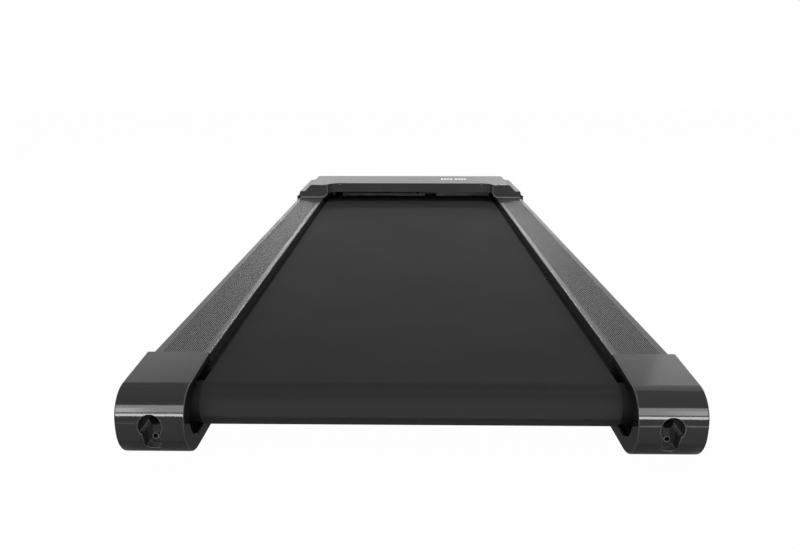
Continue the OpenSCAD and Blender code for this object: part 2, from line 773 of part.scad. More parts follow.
module cover_form(low, d) intersection() {
    along_y(tray_y - 1, pad_l) polygon(outline(cover_across(low), d));
    along_x(-pad_w / 2, pad_w / 2) polygon(outline(cover_along(low), d));
    along_z(low - 1, cover_top + 1) polygon(outline(cover_plan, d));
}

// Slot that the belt runs in through; the wings' lower corners stand in it, rounded
module mouth() {
    far_y = recess_y + cover_wall + 2;
    difference() {
        block([-recess_hw - mouth_r, tray_y - 1, cover_low - 1], [recess_hw + mouth_r, far_y, mouth_top]);
        for (side = [-1, 1])
            translate([side * (recess_hw + mouth_r), tray_y, cover_low + mouth_r]) rotate([-90, 0, 0])
                rotate_extrude() polygon(outline([
                    [0, 0, 0], [mouth_r, 0, wing_edge_r], [mouth_r, far_y - tray_y + 1, 0],
                    [0, far_y - tray_y + 1, 0]]));
    }
}

module cover_tabs() {
    for (side = [-1, 1], y = side_tabs)
        block([side > 0 ? cover_hw - cover_wall : -tray_in, y - tab_w / 2, tab_low],
              [side > 0 ? tray_in : -cover_hw + cover_wall, y + tab_w / 2, tab_top]);
    for (side = [-1, 1])
        block([side * front_tab_x - tab_w / 2, cover_front - cover_wall, tab_low],
              [side * front_tab_x + tab_w / 2, tray_front, tab_top]);
}

// Board with the display that shines through the cover's top
receiver_x = 106;
receiver_y = recess_y + 54;
receiver_z = cover_top - 9;
receiver_w = 120;
receiver_d = 36;
display_w = 68;
display_d = 22;

module receiver_posts(r)
    for (side = [-1, 1], y = [receiver_y + 5, receiver_y + receiver_d - 5])
        rod_z(r, receiver_z + board_t, cover_top - 1, receiver_x + side * (receiver_w / 2 - 6), y);

module motor_cover() color([0.62, 0.62, 0.63]) from_nose() difference() {
    union() {
        difference() {
            cover_form(cover_low, 0);
            difference() {
                cover_form(cover_low - cover_wall - 1, cover_wall);
                along_z(0, cover_top + 5) polygon(outline(recess_plan, -cover_wall));
            }
        }
        cover_tabs();
        receiver_posts(3);
    }
    along_z(cover_low - 1, cover_top + 5) polygon(outline(recess_plan));
    mouth();
    for (y = side_tabs) {
        rod_x(cover_screw_r + fit, cover_hw - cover_wall - 1, tray_in + 1, y, tab_z);
        rod_x(cover_screw_r + fit, -tray_in - 1, -cover_hw + cover_wall + 1, y, tab_z);
    }
    for (x = [-front_tab_x, front_tab_x])
        rod_y(cover_screw_r + fit, cover_front - cover_wall - 1, tray_front + 1, x, tab_z);
}

// A countersunk screw at the origin, its head at the bottom
module flush_screw(grow) {
    cylinder(r1 = 2 * cover_screw_r + grow, r2 = cover_screw_r + grow, h = 2);
    cylinder(r = cover_screw_r + grow, h = 9 + grow);
}

module cover_screw_places() {
    for (y = side_tabs) {
        translate([pad_w / 2, y, tab_z]) rotate([0, -90, 0]) children();
        translate([-pad_w / 2, y, tab_z]) rotate([0, 90, 0]) children();
    }
    for (x = [-front_tab_x, front_tab_x])
        translate([x, pad_l, tab_z]) rotate([90, 0, 0]) children();
}

module cover_screws() color(zinc) from_nose() cover_screw_places() difference() {
    flush_screw(0);
    translate([0, 0, -1]) cylinder(r = 1.4, h = 2.2, $fn = 6);
}

module receiver_board() color([0.05, 0.22, 0.12]) from_nose() {
    mid_y = receiver_y + receiver_d / 2;
    block([receiver_x - receiver_w / 2, receiver_y, receiver_z],
          [receiver_x + receiver_w / 2, receiver_y + receiver_d, receiver_z + board_t]);
    block([receiver_x - display_w / 2, mid_y - display_d / 2, receiver_z + board_t],
          [receiver_x + display_w / 2, mid_y + display_d / 2, cover_top - cover_wall - 0.4]);
    block([receiver_x - 20, mid_y - 5, receiver_z - 2.4], [receiver_x - 8, mid_y + 5, receiver_z]);
}

// Base tray

function tray_across(low) = [
    [-pad_w / 2, low, tray_side_r], [pad_w / 2, low, tray_side_r],
    [pad_w / 2, rim_z, 1.2], [-pad_w / 2, rim_z, 1.2]];

function tray_along(low, back) = [
    [back, low, 0], [pad_l, low, tray_front_r], [pad_l, rim_z, 1.2], [back, rim_z, 0]];

tray_plan = [
    [-pad_w / 2, tray_y, 3], [pad_w / 2, tray_y, 3],
    [pad_w / 2, pad_l, tray_corner_r], [-pad_w / 2, pad_l, tray_corner_r]];

module tray_form() intersection() {
    along_y(tray_y - 1, pad_l + 1) polygon(outline(tray_across(foot_h)));
    along_x(-pad_w / 2 - 1, pad_w / 2 + 1) polygon(outline(tray_along(foot_h, tray_y)));
    along_z(foot_h - 1, rim_z + 1) polygon(outline(tray_plan));
}

module tray_hollow() {
    low = floor_z - tray_wall;
    intersection() {
        along_y(tray_y - 1, pad_l + 1) polygon(outline([
            [-pad_w / 2, low, tray_side_r], [pad_w / 2, low, tray_side_r],
            [pad_w / 2, rim_z + 9, 0], [-pad_w / 2, rim_z + 9, 0]], tray_wall));
        along_x(-pad_w / 2, pad_w / 2) polygon(outline([
            [tray_y, low, 0], [pad_l, low, tray_front_r],
            [pad_l, rim_z + 9, 0], [tray_y, rim_z + 9, 0]], tray_wall));
        along_z(foot_h, rim_z + 9) polygon(outline(tray_plan, tray_wall));
    }
    block([-tray_in, tray_y - 1, lip_z], [tray_in, tray_y + tray_wall + 1, rim_z + 9]);
}

module panel_recess(grow, depth)
    along_y(panel_y - depth, pad_l + 1)
        round_plate([panel_x - grow, panel_z - panel_h / 2 - grow],
                    [panel_x + panel_w + grow, panel_z + panel_h / 2 + grow], 3 + grow);

// Slots in the tray's floor, beside the motor and under the control board
module vents() for (i = [0 : vent_count - 1]) {
    x = panel_x + 8 + i * (vent_w + 6);
    block([x, pad_l - 80, foot_h - 1], [x + vent_w, pad_l - 44, floor_z + 1]);
}

wheel_clear = wheel_r + 1.3;
well_hw = wheel_w / 2 + side_gap;

module wheel_ears() for (x = [wheel_x - well_hw - ear_t, wheel_x + well_hw])
    intersection() {
        union() {
            rod_x(ear_r, x, x + ear_t, wheel_y, wheel_z);
            block([x, wheel_y - ear_r, foot_h + 1], [x + ear_t, wheel_y + ear_r, wheel_z]);
        }
        tray_form();
    }

module base_tray() color(black) from_nose() difference() {
    union() {
        difference() {
            tray_form();
            tray_hollow();
        }
        intersection() {
            tray_form();
            panel_recess(panel_wall, panel_wall);
        }
        both_sides() {
            wheel_ears();
            for (y = tray_bosses)
                rod_z(8, foot_h + 1, beam_low, boss_x, y);
        }
    }
    panel_recess(0, 0);
    if (vent_count > 0) vents();
    both_sides() {
        rod_x(wheel_clear, wheel_x - well_hw, wheel_x + well_hw, wheel_y, wheel_z);
        rod_x(wheel_pin_r + fit, wheel_x - well_hw - ear_t - 1, wheel_x + well_hw + ear_t + 1,
              wheel_y, wheel_z);
        for (y = tray_bosses) {
            rod_z(tray_screw_r + fit, foot_h - 1, beam_low + 1, boss_x, y);
            rod_z(5, foot_h - 1, foot_h + 5, boss_x, y);
        }
    }
    cover_screw_places() {
        flush_screw(fit);
        translate([0, 0, -1]) cylinder(r = 2 * cover_screw_r + fit, h = 1.01);
    }
    along_y(panel_y - panel_wall - 1, panel_y + 1) panel_cutouts();
}

module tray_screws() color(zinc) from_nose() both_sides() for (y = tray_bosses) difference() {
    union() {
        rod_z(4.5, foot_h + 1.8, foot_h + 5, boss_x, y);
        rod_z(tray_screw_r, foot_h + 4, beam_low + 6, boss_x, y);
    }
    translate([boss_x, y, foot_h + 1]) cylinder(r = 2.3, h = 3, $fn = 6);
}

module rubber_feet() color(black) from_nose() both_sides()
    for (y = [rear_foot_y, pad_l - front_foot_back]) difference() {
        rod_z(foot_d / 2, 0, foot_h, adjuster_x, y);
        rod_z(foot_d / 2 - 6, -1, 1.2, adjuster_x, y);
    }

module wheel_axles() color(zinc) from_nose() both_sides() {
    rod_x(wheel_pin_r, wheel_x - well_hw - ear_t - 1.5, wheel_x + well_hw + ear_t + 1.5, wheel_y, wheel_z);
    for (x = [wheel_x - well_hw - ear_t - 2.5, wheel_x + well_hw + ear_t])
        rod_x(wheel_pin_r + 2, x, x + 2.5, wheel_y, wheel_z);
}

// Wheel with a rounded tyre and a ring of recesses round the hub
module transport_wheel() translate([wheel_x, wheel_y, wheel_z]) rotate([0, 90, 0]) difference() {
    rotate_extrude() polygon(outline([
        [wheel_pin_r + fit, -wheel_w / 2, 0], [wheel_r, -wheel_w / 2, 4],
        [wheel_r, wheel_w / 2, 4], [wheel_pin_r + fit, wheel_w / 2, 0]]));
    for (end = [-1, 1]) translate([0, 0, end * wheel_w / 2 - 2.5]) difference() {
        cylinder(r = wheel_r - 5, h = 5);
        translate([0, 0, -1]) cylinder(r = wheel_pin_r + 4, h = 7);
    }
}

module transport_wheel_right() color([0.2, 0.2, 0.2]) from_nose() transport_wheel();

module transport_wheel_left() color([0.2, 0.2, 0.2]) from_nose() mirror([1, 0, 0]) transport_wheel();

// Electrics

module controller_board() color([0.05, 0.22, 0.12]) from_nose() {
    difference() {
        block([board_x0, board_y, board_z0], [board_x1, board_y + board_t, board_z1]);
        for (x = [board_x0 + 5, board_x1 - 5], z = [board_z0 + 5, board_z1 - 5])
            rod_y(1.2, board_y + 0.6, board_y + board_t + 1, x, z);
    }
    for (x = [board_x0 + 5, board_x1 - 5], z = [board_z0 + 5, board_z1 - 5])
        rod_y(3, member_y + member_t, board_y, x, z);
    for (x = [board_x1 - 44, board_x1 - 26])
        rod_y(7.5, board_y + board_t, board_y + 18, x, board_z0 + 12);
    block([board_x1 - 50, board_y + board_t, board_z1 - 20], [board_x1 - 18, board_y + 15, board_z1 - 4]);
}

module heat_sink() color(zinc) from_nose() {
    x0 = board_x0 + 8;
    fins = 8;
    block([x0, board_y + board_t, board_z0 + 4], [x0 + 50, board_y + board_t + 4, board_z1 - 4]);
    for (i = [0 : fins - 1])
        block([x0 + i * 48 / (fins - 1), board_y + board_t + 3, board_z0 + 4],
              [x0 + 2 + i * 48 / (fins - 1), board_y + 16, board_z1 - 4]);
}

module panel_cutouts() {
    plate([inlet_x - 14, panel_z - 10.5], [inlet_x + 14, panel_z + 10.5]);
    plate([switch_x - 9.5, panel_z - 14], [switch_x + 9.5, panel_z + 14]);
    translate([breaker_x, panel_z]) circle(r = 6.1);
}

// Three-pin mains inlet; the cavity opens forward
module inlet_socket() color(black) from_nose() {
    difference() {
        union() {
            along_y(panel_y, panel_y + 2)
                round_plate([inlet_x - 17, panel_z - 13.5], [inlet_x + 17, panel_z + 13.5], 2);
            along_y(panel_y - 21, panel_y + 1)
                plate([inlet_x - 13.8, panel_z - 10.3], [inlet_x + 13.8, panel_z + 10.3]);
        }
        along_y(panel_y - 16, panel_y + 3)
            round_plate([inlet_x - 12, panel_z - 8], [inlet_x + 12, panel_z + 8], 2);
    }
    for (pin = [[-7, -2], [0, 2], [7, -2]])
        block([inlet_x + pin.x - 1, panel_y - 17, panel_z + pin.y - 2],
              [inlet_x + pin.x + 1, panel_y - 2, panel_z + pin.y + 2]);
}

rocker_y = panel_y - 2;

module switch_housing() color(black) from_nose() difference() {
    union() {
        along_y(panel_y, panel_y + 2)
            round_plate([switch_x - 11, panel_z - 15.5], [switch_x + 11, panel_z + 15.5], 2);
        along_y(panel_y - 18, panel_y + 1)
            plate([switch_x - 9.3, panel_z - 13.8], [switch_x + 9.3, panel_z + 13.8]);
    }
    block([switch_x - 7, panel_y - 9, panel_z - 12], [switch_x + 7, panel_y + 3, panel_z + 12]);
    rod_x(1.5 + fit, switch_x - 8.6, switch_x + 8.6, rocker_y, panel_z);
}

// Rocker at rest with its upper half out
module rocker_button() color(black) from_nose() translate([0, rocker_y, panel_z]) {
    rotate([-8, 0, 0]) along_x(switch_x - 6.7, switch_x + 6.7) intersection() {
        polygon([[-4, -10.8], [5.5, -10.2], [3.6, 0], [5.5, 10.2], [-4, 10.8]]);
        circle(r = 11.6);
    }
    rod_x(1.5, switch_x - 8.4, switch_x + 8.4, 0, 0);
}

module breaker_body() color(black) from_nose() difference() {
    union() {
        block([breaker_x - 8, panel_y - 26, panel_z - 14],
              [breaker_x + 8, panel_y - panel_wall, panel_z + 14]);
        rod_y(6, panel_y - panel_wall - 1, panel_y + 1, breaker_x, panel_z);
        rod_y(8.5, panel_y, panel_y + 2.5, breaker_x, panel_z);
    }
    rod_y(3.2 + fit, panel_y - 18, panel_y + 3, breaker_x, panel_z);
}

module reset_button() color([0.6, 0.1, 0.1]) from_nose()
    rod_y(3.2, panel_y - 17, panel_y + 3.5, breaker_x, panel_z);

side_beam_left();
side_beam_right();
end_plates();
cross_tubes();
front_crossmember();
deck_board();
deck_cushions();
deck_screws();
running_belt();
side_rail_left();
side_rail_right();
tread_strip_left();
tread_strip_right();
rear_cap_left();
rear_cap_right();
rear_cap_screws();
adjuster_washers();
motor_cover();
base_tray();
cover_screws();
tray_screws();
rubber_feet();
rear_shaft();
rear_roller_tube();
rear_roller_bearings();
adjuster_bolt_left();
adjuster_bolt_right();
front_shaft();
front_shaft_bolts();
front_roller_tube();
front_roller_bearings();
drive_pulley();
drive_belt();
motor_housing();
motor_bracket();
motor_bolts();
motor_rotor();
motor_pulley();
cooling_fan();
controller_board();
heat_sink();
receiver_board();
inlet_socket();
switch_housing();
rocker_button();
breaker_body();
reset_button();
wheel_axles();
transport_wheel_left();
transport_wheel_right();
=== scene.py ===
import math

import bmesh
import bpy
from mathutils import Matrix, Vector
from mathutils.bvhtree import BVHTree


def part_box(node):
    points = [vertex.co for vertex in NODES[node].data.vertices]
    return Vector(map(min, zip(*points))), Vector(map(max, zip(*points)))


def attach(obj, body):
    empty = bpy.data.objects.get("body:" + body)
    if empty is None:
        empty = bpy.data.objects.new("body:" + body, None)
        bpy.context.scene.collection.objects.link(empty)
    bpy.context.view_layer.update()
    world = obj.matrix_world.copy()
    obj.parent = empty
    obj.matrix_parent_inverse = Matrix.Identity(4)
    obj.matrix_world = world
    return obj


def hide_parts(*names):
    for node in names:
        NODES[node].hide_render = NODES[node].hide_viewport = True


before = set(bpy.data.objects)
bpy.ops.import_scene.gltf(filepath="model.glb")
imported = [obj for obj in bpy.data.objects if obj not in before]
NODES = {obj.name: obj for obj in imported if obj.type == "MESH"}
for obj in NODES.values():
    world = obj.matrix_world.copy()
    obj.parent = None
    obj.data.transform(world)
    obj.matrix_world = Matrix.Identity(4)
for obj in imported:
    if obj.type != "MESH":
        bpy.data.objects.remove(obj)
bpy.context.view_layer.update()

MM = 0.001


# Camera, at the photograph's angle

PHOTO_W = 800
FOCAL_PX = 699.71
SENSOR_MM = 36.0
CAMERA_AT = Vector((-1.448 * MM, -1178.08 * MM, 335.06 * MM))
PITCH_DOWN = math.radians(15.617)
YAW_LEFT = math.radians(0.768)
CLIP_NEAR = 0.02
CLIP_FAR = 60.0


def make_camera():
    data = bpy.data.cameras.new("view")
    data.sensor_fit = "HORIZONTAL"
    data.sensor_width = SENSOR_MM
    data.lens = FOCAL_PX / PHOTO_W * SENSOR_MM
    data.clip_start = CLIP_NEAR
    data.clip_end = CLIP_FAR
    camera = bpy.data.objects.new("view", data)
    camera.location = CAMERA_AT
    camera.rotation_euler = (math.pi / 2 - PITCH_DOWN, 0.0, YAW_LEFT)
    bpy.context.scene.collection.objects.link(camera)
    bpy.context.scene.camera = camera


make_camera()
bpy.context.scene.view_settings.view_transform = "Standard"


# Node helpers for materials

REFRACTION = 1.5
NOISE_ROUGHNESS = 0.55
UNSTRETCHED = (1.0, 1.0, 1.0)
# A moulding's grey and gloss change slowly, by these shares
MOTTLE = 0.12
GLOSS_MOTTLE = 0.1
# Noise scales of a fine moulded grain and of the lines on steel
FINE_GRAIN = 1800.0
STEEL_LINES = 500.0
# Sockets of a colour mix
MIX_FACTOR, MIX_FIRST, MIX_SECOND, MIX_RESULT = 0, 6, 7, 2


def grey(value):
    return (value, value, value)


def opaque(value):
    """A grey, as a colour socket takes it."""
    return (*grey(value), 1.0)


def mottled(shade):
    """The darkest and the lightest grey of a moulding."""
    return grey(shade * (1 - MOTTLE)), grey(shade * (1 + MOTTLE))


def set_stops(ramp, stops):
    """Makes a colour ramp of greys from pairs of position and grey."""
    elements = ramp.color_ramp.elements
    elements.remove(elements[-1])
    elements[0].position, elements[0].color = stops[0][0], opaque(stops[0][1])
    for position, shade in stops[1:]:
        elements.new(position).color = opaque(shade)


class Shader:
    """A material whose nodes are added one call at a time."""

    def __init__(self, name, rough, metal=0.0, spec=0.5):
        self.material = bpy.data.materials.new(name)
        self.material.use_nodes = True
        self.tree = self.material.node_tree
        self.tree.nodes.clear()
        self.bsdf = self.node("ShaderNodeBsdfPrincipled")
        self.bsdf.inputs["Roughness"].default_value = rough
        self.bsdf.inputs["IOR"].default_value = REFRACTION
        self.bsdf.inputs["Metallic"].default_value = metal
        self.bsdf.inputs["Specular IOR Level"].default_value = spec
        self.link(self.bsdf, "BSDF", self.node("ShaderNodeOutputMaterial"), "Surface")
        self.place = self.node("ShaderNodeTexCoord")

    def node(self, kind, **settings):
        made = self.tree.nodes.new(kind)
        for key, value in settings.items():
            setattr(made, key, value)
        return made

    def link(self, source, out_name, target, in_name):
        self.tree.links.new(source.outputs[out_name], target.inputs[in_name])

    def mapped(self, socket, value):
        """Object coordinates, stretched or turned."""
        mapping = self.node("ShaderNodeMapping")
        mapping.inputs[socket].default_value = value
        self.link(self.place, "Object", mapping, "Vector")
        return mapping

    def axes(self):
        """Object coordinates, one by one."""
        made = self.node("ShaderNodeSeparateXYZ")
        self.link(self.place, "Object", made, "Vector")
        return made

    def aside(self, axes):
        """Distance from the pad's middle plane."""
        made = self.node("ShaderNodeMath", operation="ABSOLUTE")
        self.link(axes, "X", made, 0)
        return made

    def between(self, source, out_name, start, end):
        """Rises from 0 at the start to 1 at the end."""
        made = self.node("ShaderNodeMapRange")
        made.inputs["From Min"].default_value = start
        made.inputs["From Max"].default_value = end
        self.link(source, out_name, made, "Value")
        return made

    def noise(self, scale, detail=3.0, stretch=UNSTRETCHED):
        made = self.node("ShaderNodeTexNoise")
        made.inputs["Scale"].default_value = scale
        made.inputs["Detail"].default_value = detail
        made.inputs["Roughness"].default_value = NOISE_ROUGHNESS
        self.link(self.mapped("Scale", stretch), "Vector", made, "Vector")
        return made

    def slow_noise(self):
        return self.noise(9.0, detail=4.0)

    def ramp(self, source, out_name, dark, light, low=0.3, high=0.7):
        made = self.node("ShaderNodeValToRGB")
        first, last = made.color_ramp.elements
        first.position, last.position = low, high
        first.color, last.color = (*dark, 1.0), (*light, 1.0)
        self.link(source, out_name, made, "Fac")
        return made

    def colour(self, source, out_name, dark, light, **limits):
        self.link(self.ramp(source, out_name, dark, light, **limits), "Color", self.bsdf, "Base Color")

    def mixed_colour(self, **settings):
        mix = self.node("ShaderNodeMix", data_type="RGBA", **settings)
        self.link(mix, MIX_RESULT, self.bsdf, "Base Color")
        return mix

    def roughness(self, source, out_name, least, most):
        spread = self.node("ShaderNodeMapRange")
        spread.inputs["To Min"].default_value = least
        spread.inputs["To Max"].default_value = most
        self.link(source, out_name, spread, "Value")
        self.link(spread, "Result", self.bsdf, "Roughness")

    def gloss_mottle(self, slow, rough):
        self.roughness(slow, "Fac", rough * (1 - GLOSS_MOTTLE), rough * (1 + GLOSS_MOTTLE))

    def orange_peel(self, least, most):
        """The skin of a powder coat, uneven in its gloss and its height."""
        peel = self.noise(700.0, detail=1.0)
        self.roughness(peel, "Fac", least, most)
        self.bump(peel, "Fac", 0.03)

    def bump(self, source, out_name, depth_mm, strength=1.0):
        made = self.node("ShaderNodeBump")
        made.inputs["Strength"].default_value = strength
        made.inputs["Distance"].default_value = depth_mm * MM
        self.link(source, out_name, made, "Height")
        self.link(made, "Normal", self.bsdf, "Normal")


# Materials

def moulded(name, shade, rough, grain=2600.0, depth=0.012, spec=0.5):
    """Moulded plastic: a fine spark grain, a little unevenness and a slow change of gloss."""
    made = Shader(name, rough, spec=spec)
    slow = made.slow_noise()
    made.colour(slow, "Fac", *mottled(shade))
    made.gloss_mottle(slow, rough)
    made.bump(made.noise(grain, detail=2.0), "Fac", depth)
    return made.material


def rubber(name, shade, rough):
    made = Shader(name, rough, spec=0.3)
    fine = made.noise(1500.0, detail=2.0)
    made.colour(fine, "Fac", grey(shade * 0.8), grey(shade * 1.2))
    made.roughness(made.noise(14.0), "Fac", rough * 0.92, rough * 1.08)
    made.bump(fine, "Fac", 0.05)
    return made.material


def steel(name, shade, rough, stretch=UNSTRETCHED):
    """Turned or plated steel with fine lines along the stretched way."""
    made = Shader(name, rough, metal=1.0)
    lines = made.noise(STEEL_LINES, detail=4.0, stretch=stretch)
    made.colour(lines, "Fac", grey(shade * 0.88), grey(shade * 1.06))
    made.roughness(lines, "Fac", rough * 0.8, rough * 1.25)
    made.bump(lines, "Fac", 0.01)
    return made.material


def powder_coat(name, shade, rough):
    made = Shader(name, rough)
    made.colour(made.noise(12.0), "Fac", grey(shade * 0.9), grey(shade * 1.1))
    made.orange_peel(rough * 0.85, rough * 1.15)
    return made.material


# The socket's wall, from the cap screw's middle; inside it the socket is painted black as shade
SOCKET_WALL = (2.1 * MM, 2.3 * MM)


def socket_steel(name, rim, well_painted_shade):
    """The cap screws: a steel rim round a socket painted black as shade."""
    made = Shader(name, 0.4, metal=1.0)
    axes = made.axes()
    low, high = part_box("adjuster_bolt_right")
    screw_low, screw_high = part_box("rear_cap_screws")
    middle = made.node("ShaderNodeCombineXYZ")
    made.link(made.aside(axes), "Value", middle, "X")
    made.link(axes, "Z", middle, "Z")
    away = made.node("ShaderNodeVectorMath", operation="DISTANCE")
    made.link(middle, "Vector", away, 0)
    away.inputs[1].default_value = ((low.x + high.x) / 2, 0.0, (screw_low.z + screw_high.z) / 2)
    # Inside this, the socket is painted black as shade
    edge = made.between(away, "Value", *SOCKET_WALL)
    made.colour(edge, "Result", grey(well_painted_shade), grey(rim), low=0.0, high=1.0)
    made.roughness(made.noise(STEEL_LINES), "Fac", 0.34, 0.46)
    return made.material


# Where the crossmember's grey changes from its painted shade to the paler end, across the pad
MEMBER_PAINTED_SHADE_STEP = (5.0 * MM, 25.0 * MM)


def member_coat(name, left, right):
    """Powder coat of the crossmember, painted far paler than the coat itself as painted light in the dark
    slot; its longer end is painted darker as shade than the end past its notch.
    """
    made = Shader(name, 0.55, spec=0.3)
    # The pale greys stand in for light in the dark slot; the longer end is painted darker as shade
    ends = made.between(made.axes(), "X", *MEMBER_PAINTED_SHADE_STEP)
    made.colour(ends, "Result", grey(left), grey(right), low=0.0, high=1.0)
    made.orange_peel(0.48, 0.62)
    return made.material


# Width of the cap's edge over the belt that is painted paler as a highlight
PAINTED_EDGE_W = 2.0 * MM


def cap_plastic(name, shade, edge_painted_highlight, flank_painted_shade, rough):
    """Glossy moulded cap; the rounded edge over the belt is painted paler as a highlight, and the flank below
    it is painted dark as shade.
    """
    made = Shader(name, rough)
    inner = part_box("rear_cap_right")[0].x
    across = made.between(made.aside(made.axes()), "Value", inner, inner + PAINTED_EDGE_W)
    # Painted highlight on the rounded edge, painted shade on the flank below it
    edge = made.node("ShaderNodeValToRGB")
    made.link(across, "Result", edge, "Fac")
    set_stops(edge, ((0.04, flank_painted_shade), (0.1, edge_painted_highlight), (0.45, edge_painted_highlight), (0.7, shade)))
    mix = made.mixed_colour(blend_type="MULTIPLY")
    mix.inputs[MIX_FACTOR].default_value = 1.0
    made.link(edge, "Color", mix, MIX_FIRST)
    made.link(made.ramp(made.slow_noise(), "Fac", *mottled(1.0)), "Color", mix, MIX_SECOND)
    made.gloss_mottle(made.slow_noise(), rough)
    made.bump(made.noise(FINE_GRAIN, detail=2.0), "Fac", 0.003)
    return made.material


WEAVE_SCALE = 210.0
WEAVE_TURN = math.radians(45)
# Depth below the belt's top from which it is painted paler, as painted light, down to its lower side
BELT_PAINTED_LIGHT_FROM = 7.0 * MM


def belt_fabric(name, darkest, lightest, bend_painted_light):
    """Woven-backed belt with a fine diamond grain pressed into its face, painted paler as light round the
    roller and below.
    """
    made = Shader(name, 0.75, spec=0.04)
    turned = made.mapped("Rotation", (0.0, 0.0, WEAVE_TURN))
    diamonds = made.node("ShaderNodeMath", operation="MULTIPLY")
    for i, way in enumerate("XY"):
        wave = made.node("ShaderNodeTexWave", wave_type="BANDS", bands_direction=way, wave_profile="SIN")
        wave.inputs["Scale"].default_value = WEAVE_SCALE
        made.link(turned, "Vector", wave, "Vector")
        made.link(wave, "Fac", diamonds, i)
    grain = made.node("ShaderNodeMath", operation="MULTIPLY_ADD")
    made.link(made.noise(900.0), "Fac", grain, 0)
    grain.inputs[1].default_value = 0.5
    made.link(diamonds, "Value", grain, 2)
    lowest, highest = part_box("running_belt")
    down = made.between(made.axes(), "Z", highest.z - BELT_PAINTED_LIGHT_FROM, lowest.z)
    mix = made.mixed_colour()
    made.link(down, "Result", mix, MIX_FACTOR)
    slow = made.ramp(made.noise(5.0, detail=5.0), "Fac", grey(darkest), grey(lightest))
    made.link(slow, "Color", mix, MIX_FIRST)
    mix.inputs[MIX_SECOND].default_value = opaque(bend_painted_light)
    made.roughness(made.noise(11.0), "Fac", 0.64, 0.76)
    made.bump(grain, "Value", 0.04, strength=0.6)
    return made.material


def board_green(name):
    made = Shader(name, 0.3)
    made.colour(made.noise(120.0, detail=6.0), "Fac", (0.01, 0.07, 0.035), (0.02, 0.12, 0.06))
    made.bump(made.noise(300.0, detail=1.0), "Fac", 0.02)
    return made.material


def laminate(name):
    """Fibreboard faced and edged with a black waxed film."""
    made = Shader(name, 0.8, spec=0.1)
    chips = made.noise(160.0, detail=8.0, stretch=(1.0, 0.3, 1.0))
    made.colour(chips, "Fac", (0.0050, 0.0048, 0.0045), (0.010, 0.0095, 0.009))
    made.bump(chips, "Fac", 0.02)
    return made.material


# Depths below the ribs' tops between which the tread's grey changes, from the painted shade of the grooves to
# the ribs' grey
RIB_FOOT = 0.5 * MM
RIB_TOP = 0.1 * MM


def ribbed_rubber(name, groove_painted_shade, rib):
    """Tread strip whose ribs' tops are worn smoother; the grooves between them are painted near-black as
    shade, so the ribs stand paler.
    """
    made = Shader(name, 0.4, spec=0.26)
    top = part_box("tread_strip_left")[1].z
    rise = made.between(made.axes(), "Z", top - RIB_FOOT, top - RIB_TOP)
    made.colour(rise, "Result", grey(groove_painted_shade), grey(rib), low=0.0, high=1.0)
    made.roughness(rise, "Result", 0.95, 0.42)
    made.bump(made.noise(1200.0, detail=2.0), "Fac", 0.03)
    return made.material


# Where the painted shade on the rail's wall ends: outward from the wall, and down from the rail's top
WALL_SKIN = (0.2 * MM, 0.8 * MM)
WALL_TOP = (1.8 * MM, 1.0 * MM)
WALL_ROUGH = 0.8


def rail_plastic(name, shade, wall_painted_shade, rough):
    """Moulded rail; the wall that faces the belt is painted dark as shade below the rounding of its upper
    edge.
    """
    made = Shader(name, rough, spec=0.35)
    axes = made.axes()
    lowest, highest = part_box("side_rail_right")
    past_wall = made.between(made.aside(axes), "Value", *(lowest.x + step for step in WALL_SKIN))
    over_edge = made.between(axes, "Z", *(highest.z - drop for drop in WALL_TOP))
    outside = made.node("ShaderNodeMath", operation="MAXIMUM")
    made.link(past_wall, "Result", outside, 0)
    made.link(over_edge, "Result", outside, 1)
    # Mixes in the painted shade of the wall that faces the belt
    mix = made.mixed_colour()
    made.link(outside, "Value", mix, MIX_FACTOR)
    mix.inputs[MIX_FIRST].default_value = opaque(wall_painted_shade)
    made.link(made.ramp(made.slow_noise(), "Fac", *mottled(shade)), "Color", mix, MIX_SECOND)
    made.roughness(outside, "Value", WALL_ROUGH, rough)
    made.bump(made.noise(FINE_GRAIN, detail=2.0), "Fac", 0.012)
    return made.material


def lit(name, shade, glow):
    """Lamps of a display that shine through the cover, a little uneven."""
    made = Shader(name, 0.4)
    uneven = made.noise(260.0, detail=1.0)
    made.colour(uneven, "Fac", grey(shade * 0.92), grey(shade))
    made.bsdf.inputs["Emission Color"].default_value = opaque(1.0)
    made.bsdf.inputs["Emission Strength"].default_value = glow
    made.bump(uneven, "Fac", 0.01)
    return made.material


